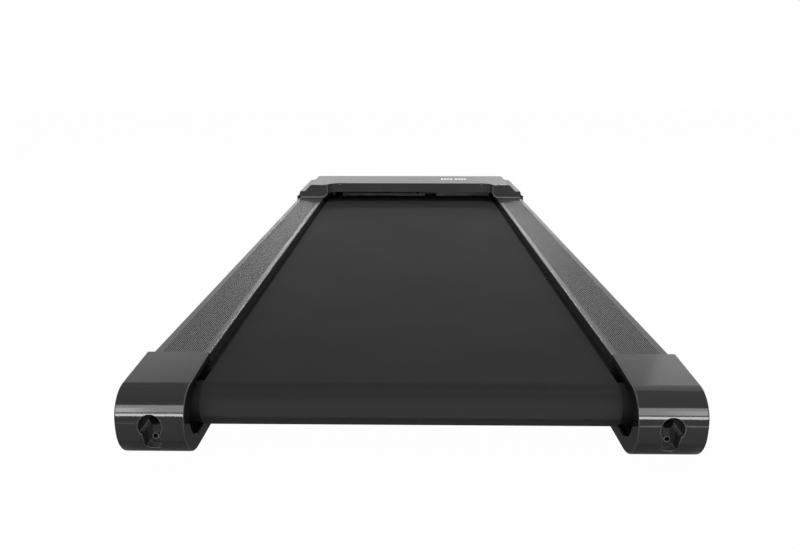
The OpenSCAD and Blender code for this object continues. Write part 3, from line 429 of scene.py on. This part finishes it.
MATERIALS = {
    # The cap's paler edge is a painted highlight and its dark flank is painted shade
    "shell": cap_plastic("shell", shade=0.025, edge_painted_highlight=0.075, flank_painted_shade=0.006, rough=0.10),
    "cover": moulded("cover", 0.054, 0.22, grain=FINE_GRAIN, depth=0.006, spec=0.14),
    # The rail's dark wall facing the belt is painted shade
    "rail": rail_plastic("rail", shade=0.042, wall_painted_shade=0.006, rough=0.36),
    # The tread's near-black grooves are painted shade
    "tread": ribbed_rubber("tread", groove_painted_shade=0.001, rib=0.104),
    # The belt's paler nose and lower run are painted light
    "belt": belt_fabric("belt", darkest=0.0245, lightest=0.0285, bend_painted_light=0.1),
    "black": moulded("black", 0.018, 0.42, grain=1500.0, depth=0.03),
    "housing": moulded("housing", 0.003, 0.75, spec=0.08),
    "gloss_black": moulded("gloss_black", 0.012, 0.18),
    "soft_rubber": rubber("soft_rubber", 0.016, 0.75),
    "red": moulded("red", 0.05, 0.2),
    "coat": powder_coat("coat", 0.022, 0.4),
    "zinc": steel("zinc", 0.62, 0.28),
    "oxide": steel("oxide", 0.008, 0.42),
    # The screws' black sockets are painted shade
    "screw": socket_steel("screw", rim=0.16, well_painted_shade=0.002),
    # The crossmember's pale greys are painted light, and its darker longer end is painted shade
    "member": member_coat("member", left=0.7, right=0.95),
    "dark_steel": steel("dark_steel", 0.30, 0.34, stretch=(6.0, 1.0, 1.0)),
    "roller": moulded("roller", 0.011, 0.7, spec=0.15),
    "green": board_green("green"),
    "deck": laminate("deck"),
    "aluminium": steel("aluminium", 0.75, 0.3),
    # Pale grey: print for the display's marks, and a painted highlight on the wing beads
    "print_and_painted_highlight": moulded("print_and_painted_highlight", 0.095, 0.36),
    # The keyhole rims' pale grey is a painted highlight
    "rim": moulded("rim", 0.17, 0.2),
    "digits": lit("digits", shade=0.8, glow=0.9),
    "marks": moulded("marks", 0.6, 0.4),
    # The wall buttons' pale grey is a painted glint
    "button": moulded("button", 0.14, 0.4),
}

LOOK = {
    "shell": "rear_cap_left rear_cap_right",
    "cover": "motor_cover",
    "rail": "side_rail_left side_rail_right",
    "tread": "tread_strip_left tread_strip_right",
    "belt": "running_belt",
    "black": "base_tray cooling_fan transport_wheel_left transport_wheel_right",
    "housing": "motor_housing",
    "gloss_black": "inlet_socket switch_housing rocker_button breaker_body",
    "soft_rubber": "rubber_feet deck_cushions drive_belt",
    "red": "reset_button",
    "coat": "side_beam_left side_beam_right end_plates cross_tubes motor_bracket",
    "member": "front_crossmember",
    "zinc": "adjuster_washers cover_screws tray_screws rear_shaft front_shaft front_shaft_bolts "
            "motor_bolts wheel_axles",
    "oxide": "adjuster_bolt_left adjuster_bolt_right deck_screws",
    "screw": "rear_cap_screws",
    "dark_steel": "rear_roller_bearings front_roller_bearings drive_pulley motor_pulley motor_rotor",
    "roller": "rear_roller_tube front_roller_tube",
    "green": "controller_board receiver_board",
    "deck": "deck_board",
    "aluminium": "heat_sink",
}

SMOOTH_BELOW = math.radians(32)


def dress(node, material):
    mesh = NODES[node].data
    mesh.materials.clear()
    mesh.materials.append(material)
    for face in mesh.polygons:
        face.use_smooth = True
    mesh.set_sharp_from_angle(angle=SMOOTH_BELOW)


for look, names in LOOK.items():
    for node_name in names.split():
        dress(node_name, MATERIALS[look])


# Detail pieces

def new_piece(name, builder, look, body):
    mesh = bpy.data.meshes.new(name)
    for face in builder.faces:
        face.smooth = True
    bmesh.ops.recalc_face_normals(builder, faces=builder.faces)
    builder.to_mesh(mesh)
    builder.free()
    mesh.set_sharp_from_angle(angle=SMOOTH_BELOW)
    mesh.materials.append(MATERIALS[look])
    piece = bpy.data.objects.new(name, mesh)
    bpy.context.scene.collection.objects.link(piece)
    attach(piece, body)
    return piece


SAME_SPOT = 0.001 * MM


def joined_copy(node):
    """The node's CAD shape with its flats joined."""
    source = NODES[node].data
    builder = bmesh.new()
    corners = [builder.verts.new(v.co) for v in source.vertices]
    for face in source.polygons:
        builder.faces.new([corners[i] for i in face.vertices])
    bmesh.ops.remove_doubles(builder, verts=builder.verts, dist=SAME_SPOT)
    return builder


BELT_EDGE = 0.5 * MM
RIM_ANGLE = math.radians(60)


def flexible_belt(node, look, edge=0.0):
    """A belt that bends smoothly round its rollers; its rims are eased where an edge is given."""
    builder = joined_copy(node)
    if edge:
        rims = [e for e in builder.edges if len(e.link_faces) == 2 and e.calc_face_angle(0.0) > RIM_ANGLE]
        bmesh.ops.bevel(builder, geom=rims, offset=edge, segments=2, affect="EDGES", clamp_overlap=True)
    piece = new_piece(node + "_flexible", builder, look, "frame")
    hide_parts(node)


# Profile of the rear caps
NOSE_TOP_R = 28.7 * MM
NOSE_LOW_R = 33.4 * MM
CAP_TOP_Z = 77.4 * MM
CAP_L = 89.8 * MM
CAP_SLOPE = math.radians(3.8)
# A face whose normal leans from a plane or an axis by less than this counts as lying along it
LEAN = 0.02
# Past this share of its normal, a face looks to the front end
LOOKS_AHEAD = 0.9
# How far the cap may stand out over a face of its own skin
SKIN_SLACK = 0.02 * MM


def nose_normal(place, low):
    """Which way the cap's outer surface faces at a place on its profile."""
    y = place.y - low.y
    z = place.z
    upper_z = CAP_TOP_Z - (CAP_L - NOSE_TOP_R) * math.tan(CAP_SLOPE) - NOSE_TOP_R / math.cos(CAP_SLOPE)
    lower_z = low.z + NOSE_LOW_R
    if z > upper_z:
        if y < NOSE_TOP_R * (1 - math.sin(CAP_SLOPE)):
            return Vector((0.0, y - NOSE_TOP_R, z - upper_z)).normalized()
        return Vector((0.0, -math.sin(CAP_SLOPE), math.cos(CAP_SLOPE)))
    if z < lower_z:
        return Vector((0.0, min(y - NOSE_LOW_R, 0.0), z - lower_z)).normalized()
    return Vector((0.0, -1.0, 0.0))


def smooth_cap(side):
    """The cap's CAD shape with its flats joined, so that its nose shines as a rounding."""
    node = "rear_cap_" + side
    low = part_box(node)[0]
    piece = new_piece(node + "_smooth", joined_copy(node), "shell", "frame")
    mesh = piece.data
    # The cap's outer form is convex: its skin is what has the whole cap behind it
    spots = [v.co for v in mesh.vertices]
    skin = []
    for face in mesh.polygons:
        reach = face.normal.dot(face.center) + SKIN_SLACK
        if face.normal.y < LOOKS_AHEAD and all(face.normal.dot(spot) < reach for spot in spots):
            skin.append(face)
    profile = {i for face in skin if abs(face.normal.x) < LEAN for i in face.vertices}
    flank = {i: face.normal.copy() for face in skin if abs(face.normal.x) > 1 - LEAN for i in face.vertices}
    # A normal of zero leaves the mesh's own
    normals = [Vector((0.0, 0.0, 0.0)) for _ in mesh.loops]
    for face in skin:
        for loop in face.loop_indices:
            corner = mesh.loops[loop].vertex_index
            if corner in profile:
                normals[loop] = nose_normal(spots[corner], low)
            elif corner in flank:
                normals[loop] = flank[corner]
    mesh.normals_split_custom_set(normals)
    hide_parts(node)


def turns(count):
    """Angles of a full turn in equal steps."""
    return [2 * math.pi * k / count for k in range(count)]


def bridge(builder, one, two, shift=0):
    """Faces between two rings; the shift is the corner of the second that meets the first one's corner 0."""
    count = len(one)
    for k in range(count):
        builder.faces.new([one[k], one[(k + 1) % count],
                           two[(k + 1 + shift) % count], two[(k + shift) % count]])


def stack(builder, rings):
    """A closed solid from rings of corners, the lowest first."""
    for one, two in zip(rings, rings[1:]):
        bridge(builder, one, two)
    builder.faces.new(rings[-1])
    builder.faces.new(rings[0][::-1])


# Height of the dome on a bead's open end, as a share of its radius
DOME = 0.6


def sweep(builder, path, radius, closed=False, sides=10):
    """A round bead along a path; open ends are domed."""
    count = len(path)
    rings = []
    normal = None
    for i, point in enumerate(path):
        before = path[i - 1] if closed or i else path[0]
        after = path[(i + 1) % count] if closed or i + 1 < count else path[-1]
        along = (after - before).normalized()
        if normal is None:
            normal = along.orthogonal().normalized()
        normal = (normal - along * normal.dot(along)).normalized()
        across = along.cross(normal)
        rings.append([builder.verts.new(point + radius * (math.cos(t) * normal + math.sin(t) * across))
                      for t in turns(sides)])
    for one, two in zip(rings, rings[1:]):
        bridge(builder, one, two)
    if closed:
        # The last ring may be turned against the first
        one, two = rings[-1], rings[0]
        bridge(builder, one, two, min(range(sides), key=lambda k: (two[k].co - one[0].co).length))
        return
    for ring, way in ((rings[0], path[0] - path[1]), (rings[-1], path[-1] - path[-2])):
        middle = sum((v.co for v in ring), Vector()) / sides
        tip = builder.verts.new(middle + way.normalized() * radius * DOME)
        for k in range(sides):
            builder.faces.new([ring[k], ring[(k + 1) % sides], tip])


def arc(centre_u, centre_v, radius, start, end, steps):
    for i in range(steps + 1):
        t = math.radians(start + (end - start) * i / steps)
        yield centre_u + radius * math.cos(t), centre_v + radius * math.sin(t)


AHEAD = Vector((0.0, 1.0, 0.0))
# Places that a ray starts from, along the pad: behind its rear end, over the belt and before its front end
BEHIND_PAD, OVER_BELT, BEFORE_PAD = -0.7, 0.3, 0.7


def surface_of(node):
    mesh = NODES[node].data
    return BVHTree.FromPolygons([v.co for v in mesh.vertices], [f.vertices for f in mesh.polygons])


def first_hit(tree, start, way):
    place, normal, _, _ = tree.ray_cast(start, way)
    return place, normal


# The mouth of each keyhole recess has a thin rounded rim, whose pale grey is a painted highlight
KEY_R = 11.3 * MM
KEY_HALF_W = 8.0 * MM
KEY_CORNER = 6.0 * MM
KEY_DROP = 24.9 * MM
RIM_R = 0.45 * MM
# From the recess's edge to the rim's middle, and to where the cap's surface is measured
RIM_IN = 0.15 * MM
RIM_MEASURE_OUT = 0.6 * MM
# Steps round the keyhole's lobe and round each lower corner
LOBE_STEPS = 40
CORNER_STEPS = 8


def keyhole_outline(centre_x, centre_z, grow):
    radius = KEY_R + grow
    half = KEY_HALF_W + grow
    corner = KEY_CORNER + grow
    low = centre_z - KEY_DROP - grow
    neck = math.degrees(math.asin(half / radius))
    points = list(arc(centre_x, centre_z, radius, -90 + neck, 270 - neck, LOBE_STEPS))
    points += arc(centre_x - half + corner, low + corner, corner, 180, 270, CORNER_STEPS)
    points += arc(centre_x + half - corner, low + corner, corner, 270, 360, CORNER_STEPS)
    return points


def keyhole_rim(side):
    surface = surface_of("rear_cap_" + side)
    low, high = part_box("adjuster_bolt_" + side)
    centre = (low + high) / 2
    inner = keyhole_outline(centre.x, centre.z, -RIM_IN)
    outer = keyhole_outline(centre.x, centre.z, RIM_MEASURE_OUT)
    path = []
    for (x, z), (cast_x, cast_z) in zip(inner, outer):
        place, _ = first_hit(surface, Vector((cast_x, BEHIND_PAD, cast_z)), AHEAD)
        path.append(Vector((x, place.y + RIM_R, z)))
    builder = bmesh.new()
    sweep(builder, path, RIM_R, closed=True)
    # The rim's pale grey is a painted highlight
    new_piece("keyhole_rim_" + side, builder, "rim", "frame")


# A bead runs along the lower and inner edges of each wing's rear face, down to the rail; its paler grey is a
# painted highlight
BEAD_R = 2.0 * MM
# How deep the bead's middle stands in the wing, as a share of its radius
BEAD_SUNK = 0.7
BEAD_OVER_RAIL = 0.1 * MM
BEAD_FROM_SIDE = 4.5 * MM
BEAD_STEP = 8.0 * MM
BEAD_UNDER_TOP = 3.6 * MM
MOUTH_R = 12.5 * MM
RECESS_HW = 189.5 * MM
# The bead's corner is this much tighter than the mouth's, and its foot ends this far before the corner
CORNER_TIGHTER = 0.6 * MM
CORNER_CLEAR = 2.0 * MM
# Most points along the foot, degrees between those of the corner, and points up the inner edge
FOOT_POINTS = 6
CORNER_TURN = 9
INNER_POINTS = 5


def wing_bead(side, sign):
    low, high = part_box("motor_cover")
    rear = low.y + BEAD_R * BEAD_SUNK
    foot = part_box("side_rail_right")[1].z + BEAD_OVER_RAIL + BEAD_R
    corner = MOUTH_R - CORNER_TIGHTER
    corner_x = RECESS_HW + MOUTH_R
    points = [(high.x - BEAD_FROM_SIDE - i * BEAD_STEP, foot) for i in range(FOOT_POINTS)]
    points = [(x, z) for x, z in points if x > corner_x + CORNER_CLEAR]
    points += [(corner_x - corner * math.sin(math.radians(t)),
                foot + corner - corner * math.cos(math.radians(t))) for t in range(0, 91, CORNER_TURN)]
    top = high.z - BEAD_UNDER_TOP
    points += [(corner_x - corner, foot + corner + (top - foot - corner) * (i + 1) / INNER_POINTS)
               for i in range(INNER_POINTS)]
    builder = bmesh.new()
    sweep(builder, [Vector((sign * x, rear, z)) for x, z in points], BEAD_R)
    new_piece("wing_bead_" + side, builder, "print_and_painted_highlight", "frame")


# Figures of the display, in bars of light through the cover's top
FIGURES = "00.00"
DISPLAYS = (("distance", 75.6 * MM), ("time", 108.6 * MM))
FIGURES_Y = 519.0 * MM
DIGIT_W = 4.9 * MM
DIGIT_H = 17.0 * MM
DIGIT_STEP = 7.2 * MM
BAR = 1.7 * MM
# Gap at a bar's ends, as a share of its width
BAR_GAP = 0.12
DOT_R = 0.7 * MM
DOT_BACK = 1.4 * MM
DOT_SIDES = 12
# Bars of a nought, in shares of the digit's width and height
NOUGHT = (((0, 1), (1, 1)), ((1, 1), (1, 0.5)), ((1, 0.5), (1, 0)),
          ((0, 0), (1, 0)), ((0, 0), (0, 0.5)), ((0, 0.5), (0, 1)))
# Small pale marks behind the figures, in millimetres
MARKS_X = (78.0, 97.0, 117.0, 128.0, 141.0)
MARK_W = 7.0
MARK_NEAR, MARK_FAR = 486.0, 489.5
# The plates stand in the cover's top by the first and are as thick as the others
PLATE_SUNK = 0.05 * MM
FIGURE_T = 0.08 * MM
MARK_T = 0.06 * MM
# Bevel of a plate's upper edge, in shares of its thickness and of its width
BEVEL_DOWN = 0.3
BEVEL_IN = 0.9


def slab(builder, corners, low, high):
    """A thin plate on a polygon, with a bevelled upper edge."""
    middle = sum(corners, Vector((0.0, 0.0))) / len(corners)
    levels = []
    for z, inset in ((low, 1.0), (high - (high - low) * BEVEL_DOWN, 1.0), (high, BEVEL_IN)):
        levels.append([builder.verts.new((*(middle + (c - middle) * inset), z)) for c in corners])
    stack(builder, levels)


def bar_shape(start, end):
    """Six-cornered bar between two points."""
    along = (end - start).normalized()
    across = Vector((-along.y, along.x)) * BAR / 2
    a, b = start + along * BAR * BAR_GAP, end - along * BAR * BAR_GAP
    return [a, a + along * BAR / 2 - across, b - along * BAR / 2 - across, b,
            b - along * BAR / 2 + across, a + along * BAR / 2 + across]


def figures(left, top):
    builder = bmesh.new()
    x = left
    for sign in FIGURES:
        if sign == ".":
            dot = [Vector((x - DOT_BACK + DOT_R * math.cos(t), FIGURES_Y - DIGIT_H / 2 + DOT_R * math.sin(t)))
                   for t in turns(DOT_SIDES)]
            slab(builder, dot, top, top + FIGURE_T)
            continue
        for bar in NOUGHT:
            ends = [Vector((x + u * (DIGIT_W - BAR) + BAR / 2, FIGURES_Y + (v - 0.5) * (DIGIT_H - BAR)))
                    for u, v in bar]
            slab(builder, bar_shape(*ends), top, top + FIGURE_T)
        x += DIGIT_STEP
    return builder


def display():
    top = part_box("motor_cover")[1].z - PLATE_SUNK
    for name, left in DISPLAYS:
        new_piece("display_" + name, figures(left, top), "digits", "frame")
    builder = bmesh.new()
    for x in MARKS_X:
        corners = ((x, MARK_NEAR), (x + MARK_W, MARK_NEAR), (x + MARK_W, MARK_FAR), (x, MARK_FAR))
        slab(builder, [Vector((u * MM, v * MM)) for u, v in corners], top, top + MARK_T)
    new_piece("display_marks", builder, "print_and_painted_highlight", "frame")


# Two small domed pale buttons on the wall of the recess between the wings, where the cover shows two glints;
# their pale grey is a painted glint
BUTTONS = (("left", -163.0 * MM), ("right", 166.0 * MM))
BUTTON_Z = 101.5 * MM
BUTTON_SIDES = 20
# Radius and height over the wall, in millimetres
BUTTON_RINGS = ((1.9, 0.0), (1.9, 0.5), (1.5, 0.95), (0.8, 1.2))
BUTTON_FLATTER = 0.8


def painted_glint_button(side, x):
    place, _ = first_hit(surface_of("motor_cover"), Vector((x, OVER_BELT, BUTTON_Z)), AHEAD)
    builder = bmesh.new()
    stack(builder, [[builder.verts.new((place.x + radius * MM * math.cos(t), place.y - rise * MM,
                                        place.z + radius * MM * BUTTON_FLATTER * math.sin(t)))
                     for t in turns(BUTTON_SIDES)] for radius, rise in BUTTON_RINGS])
    new_piece("painted_glint_button_" + side, builder, "button", "frame")


# On and off marks on the power rocker, as fine beads on its surface
OFF_RING_R = 2.2 * MM
ON_BAR_HALF = 2.4 * MM
ON_STEPS = 6
# The ring's bead closes by itself over the last step, so the arc stops one step short
OFF_ARC_END = 345
OFF_STEPS = 23
ROCKER_BEAD_R = 0.28 * MM
ROCKER_BEAD_LIFT = 0.02 * MM


def rocker_marks():
    surface = surface_of("rocker_button")
    low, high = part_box("rocker_button")
    middle = (low + high) / 2
    quarter = (high.z - low.z) / 4
    on_z, off_z = middle.z + quarter, middle.z - quarter
    bar = [(middle.x, on_z - ON_BAR_HALF + 2 * ON_BAR_HALF * i / ON_STEPS) for i in range(ON_STEPS + 1)]
    ring = arc(middle.x, off_z, OFF_RING_R, 0, OFF_ARC_END, OFF_STEPS)
    for name, shape, closed in (("on", bar, False), ("off", ring, True)):
        path = []
        for x, height in shape:
            place, normal = first_hit(surface, Vector((x, BEFORE_PAD, height)), -AHEAD)
            path.append(place + normal * ROCKER_BEAD_LIFT)
        builder = bmesh.new()
        sweep(builder, path, ROCKER_BEAD_R, closed=closed, sides=8)
        new_piece("rocker_mark_" + name, builder, "marks", "power_rocker")


for side_name, side_sign in (("left", -1), ("right", 1)):
    smooth_cap(side_name)
    keyhole_rim(side_name)
    wing_bead(side_name, side_sign)
flexible_belt("running_belt", "belt", edge=BELT_EDGE)
flexible_belt("drive_belt", "soft_rubber")
for button in BUTTONS:
    painted_glint_button(*button)
display()
rocker_marks()


# Studio: a pale floor, a white surround and soft panels

def add_math(tree, operation, a, b):
    made = tree.nodes.new("ShaderNodeMath")
    made.operation = operation
    for socket, value in zip(made.inputs, (a, b)):
        if isinstance(value, float):
            socket.default_value = value
        else:
            tree.links.new(value, socket)
    return made.outputs[0]


def add_mix(tree, share, first, second):
    mix = tree.nodes.new("ShaderNodeMixShader")
    tree.links.new(share, mix.inputs["Fac"])
    tree.links.new(first, mix.inputs[1])
    tree.links.new(second, mix.inputs[2])
    return mix.outputs[0]


def add_background(tree, shade=None, strength=1.0):
    made = tree.nodes.new("ShaderNodeBackground")
    if shade is not None:
        made.inputs["Color"].default_value = opaque(shade)
    made.inputs["Strength"].default_value = strength
    return made


FLOOR_HALF = 9.0
FLOOR_GLOW = 0.985
FLOOR_GLOSS = 0.1
FLOOR_SHADE = 0.38


def make_floor():
    """Pale floor: camera rays see it nearly white whatever its light, and it keeps a trace of the shadow."""
    mesh = bpy.data.meshes.new("floor")
    corners = [(-FLOOR_HALF, -FLOOR_HALF, 0), (FLOOR_HALF, -FLOOR_HALF, 0),
               (FLOOR_HALF, FLOOR_HALF, 0), (-FLOOR_HALF, FLOOR_HALF, 0)]
    mesh.from_pydata(corners, [], [(0, 1, 2, 3)])
    floor = bpy.data.objects.new("floor", mesh)
    bpy.context.scene.collection.objects.link(floor)
    material = bpy.data.materials.new("floor")
    material.use_nodes = True
    tree = material.node_tree
    tree.nodes.clear()
    path = tree.nodes.new("ShaderNodeLightPath")
    diffuse = tree.nodes.new("ShaderNodeBsdfDiffuse")
    diffuse.inputs["Color"].default_value = opaque(FLOOR_SHADE)
    glow = tree.nodes.new("ShaderNodeEmission")
    glow.inputs["Strength"].default_value = 1.0
    bent = add_math(tree, "MAXIMUM", path.outputs["Is Glossy Ray"], path.outputs["Is Transmission Ray"])
    share = add_math(tree, "MAXIMUM", add_math(tree, "MULTIPLY", path.outputs["Is Camera Ray"], FLOOR_GLOW),
                     add_math(tree, "MULTIPLY", bent, FLOOR_GLOSS))
    out = tree.nodes.new("ShaderNodeOutputMaterial")
    tree.links.new(add_mix(tree, share, diffuse.outputs[0], glow.outputs[0]), out.inputs["Surface"])
    mesh.materials.append(material)


WORLD_FILL = 0.22
# Gloss shows this much of the white surround: sine of the elevation, and the grey there
SURROUND = ((0.0, 1.0), (0.45, 1.0), (0.56, 0.25))
# Behind the camera the surround is dimmer, so that the soft panels stand out in the gloss
SURROUND_BEHIND = 0.22
# The two meet softly between these sines, behind the pad's middle and beyond it
SURROUND_SEAM = 0.25


def make_world():
    world = bpy.data.worlds.new("surround")
    bpy.context.scene.world = world
    world.use_nodes = True
    tree = world.node_tree
    tree.nodes.clear()
    place = tree.nodes.new("ShaderNodeTexCoord")
    split = tree.nodes.new("ShaderNodeSeparateXYZ")
    tree.links.new(place.outputs["Generated"], split.inputs[0])
    ramp = tree.nodes.new("ShaderNodeValToRGB")
    set_stops(ramp, SURROUND)
    tree.links.new(split.outputs["Z"], ramp.inputs["Fac"])
    ahead = tree.nodes.new("ShaderNodeMapRange")
    ahead.inputs["From Min"].default_value = -SURROUND_SEAM
    ahead.inputs["From Max"].default_value = SURROUND_SEAM
    tree.links.new(split.outputs["Y"], ahead.inputs["Value"])
    beyond = add_background(tree)
    tree.links.new(ramp.outputs["Color"], beyond.inputs["Color"])
    behind = add_background(tree, 1.0, SURROUND_BEHIND)
    gloss = add_mix(tree, ahead.outputs["Result"], behind.outputs[0], beyond.outputs[0])
    fill = add_background(tree, strength=WORLD_FILL)
    white = add_background(tree, 1.0)
    path = tree.nodes.new("ShaderNodeLightPath")
    seen = add_math(tree, "MAXIMUM", path.outputs["Is Camera Ray"], path.outputs["Is Transmission Ray"])
    lit_or_gloss = add_mix(tree, path.outputs["Is Glossy Ray"], fill.outputs[0], gloss)
    out = tree.nodes.new("ShaderNodeOutputWorld")
    tree.links.new(add_mix(tree, seen, lit_or_gloss, white.outputs[0]), out.inputs["Surface"])


def all_but(names):
    """Light-linking group that leaves those nodes out."""
    group = bpy.data.collections.new("all_but")
    for name in names.split():
        group.objects.link(NODES[name])
    for item in group.collection_objects:
        item.light_linking.link_state = "EXCLUDE"
    return group


# From the front end the long surfaces would mirror the panels behind the rear end
PANEL_GLOSS = all_but("motor_cover side_rail_left side_rail_right tread_strip_left tread_strip_right")

NOSE = Vector((0.0, -0.6, 0.05))
# Azimuths of the lamps, seen from the pad
REAR, FRONT = -90.0, 90.0
PANELS_SIDE = 1.9
# Name, place across the pad, width and radiance of the lamps close to the floor
LOW_LAMPS = (("low_left", -0.285, 0.035, 0.7), ("low_right", 0.255, 0.1, 2.3))


def add_lamp(name, target, azimuth, elevation, distance, width, height, radiance, diffuse=True,
             glossy=True, group=None):
    """A rectangular lamp that faces the target from that way and lights the group, or else everything."""
    way, up = math.radians(azimuth), math.radians(elevation)
    aim = Vector((math.cos(up) * math.cos(way), math.cos(up) * math.sin(way), math.sin(up)))
    data = bpy.data.lights.new(name, "AREA")
    data.shape = "RECTANGLE"
    data.size = width
    data.size_y = height
    data.energy = radiance * math.pi * width * height
    lamp = bpy.data.objects.new(name, data)
    lamp.location = target + aim * distance
    lamp.rotation_euler = (-aim).to_track_quat("-Z", "Y").to_euler()
    lamp.visible_camera = False
    lamp.visible_diffuse = diffuse
    lamp.visible_glossy = glossy
    lamp.light_linking.receiver_collection = group
    bpy.context.scene.collection.objects.link(lamp)


def softbox(name, left, right, low, high, radiance, distance=3.0, diffuse=True):
    """A strip behind the pad's rear end, seen from the nose between two elevations.

    Its gloss and its diffuse light are lamps of their own, because only the gloss leaves pieces out.
    """
    strip = {
        "target": Vector(((left + right) / 2, NOSE.y, NOSE.z)),
        "azimuth": REAR, "elevation": (low + high) / 2, "distance": distance, "width": right - left,
        "height": 2 * distance * math.tan(math.radians(high - low) / 2), "radiance": radiance,
    }
    add_lamp(name + "_gloss", diffuse=False, group=PANEL_GLOSS, **strip)
    if diffuse:
        add_lamp(name, glossy=False, **strip)


make_floor()
make_world()
# The glossy caps show a wide soft band with a bright line under it
softbox("key", -PANELS_SIDE, PANELS_SIDE, low=15.6, high=41.6, radiance=4.3)
softbox("key_left", -PANELS_SIDE, -1.33, low=15.6, high=31.5, radiance=4.3, distance=2.9)
softbox("key_right", 1.3, PANELS_SIDE, low=15.6, high=31.5, radiance=2.2, distance=2.9)
softbox("line", -PANELS_SIDE, PANELS_SIDE, low=2.6, high=10.9, radiance=13.0, diffuse=False)
# Lamps beyond the pad that show only in the gloss of the rails, the cover and the right cap
for lamp_name, lamp_side in (("far_left", -1), ("far_right", 1)):
    add_lamp(lamp_name, Vector((lamp_side * 0.22, 0.4, 0.07)), FRONT - lamp_side * 9.0, elevation=25.5,
             distance=3.2, width=0.3, height=0.17, radiance=42.0, diffuse=False)
# Close to the floor, for the faint second line below the bright one
for lamp_name, lamp_x, lamp_w, lamp_radiance in LOW_LAMPS:
    add_lamp(lamp_name, Vector((lamp_x, -0.625, 0.0445)), REAR, elevation=-22.5, distance=0.088,
             width=lamp_w, height=0.007, radiance=lamp_radiance, diffuse=False)
add_lamp("far_panel", NOSE, azimuth=50.7, elevation=37.0, distance=3.0, width=1.25, height=2.4,
         radiance=0.58, diffuse=False)
# Soft light from above and from the front end, outside the gloss
add_lamp("top", Vector((0.0, 0.3, 0.0)), REAR, elevation=80.0, distance=2.2, width=2.0, height=2.0,
         radiance=2.6, glossy=False)
add_lamp("front", Vector((0.0, 0.4, 0.0)), FRONT, elevation=50.0, distance=3.0, width=2.4, height=1.2,
         radiance=1.2, glossy=False)
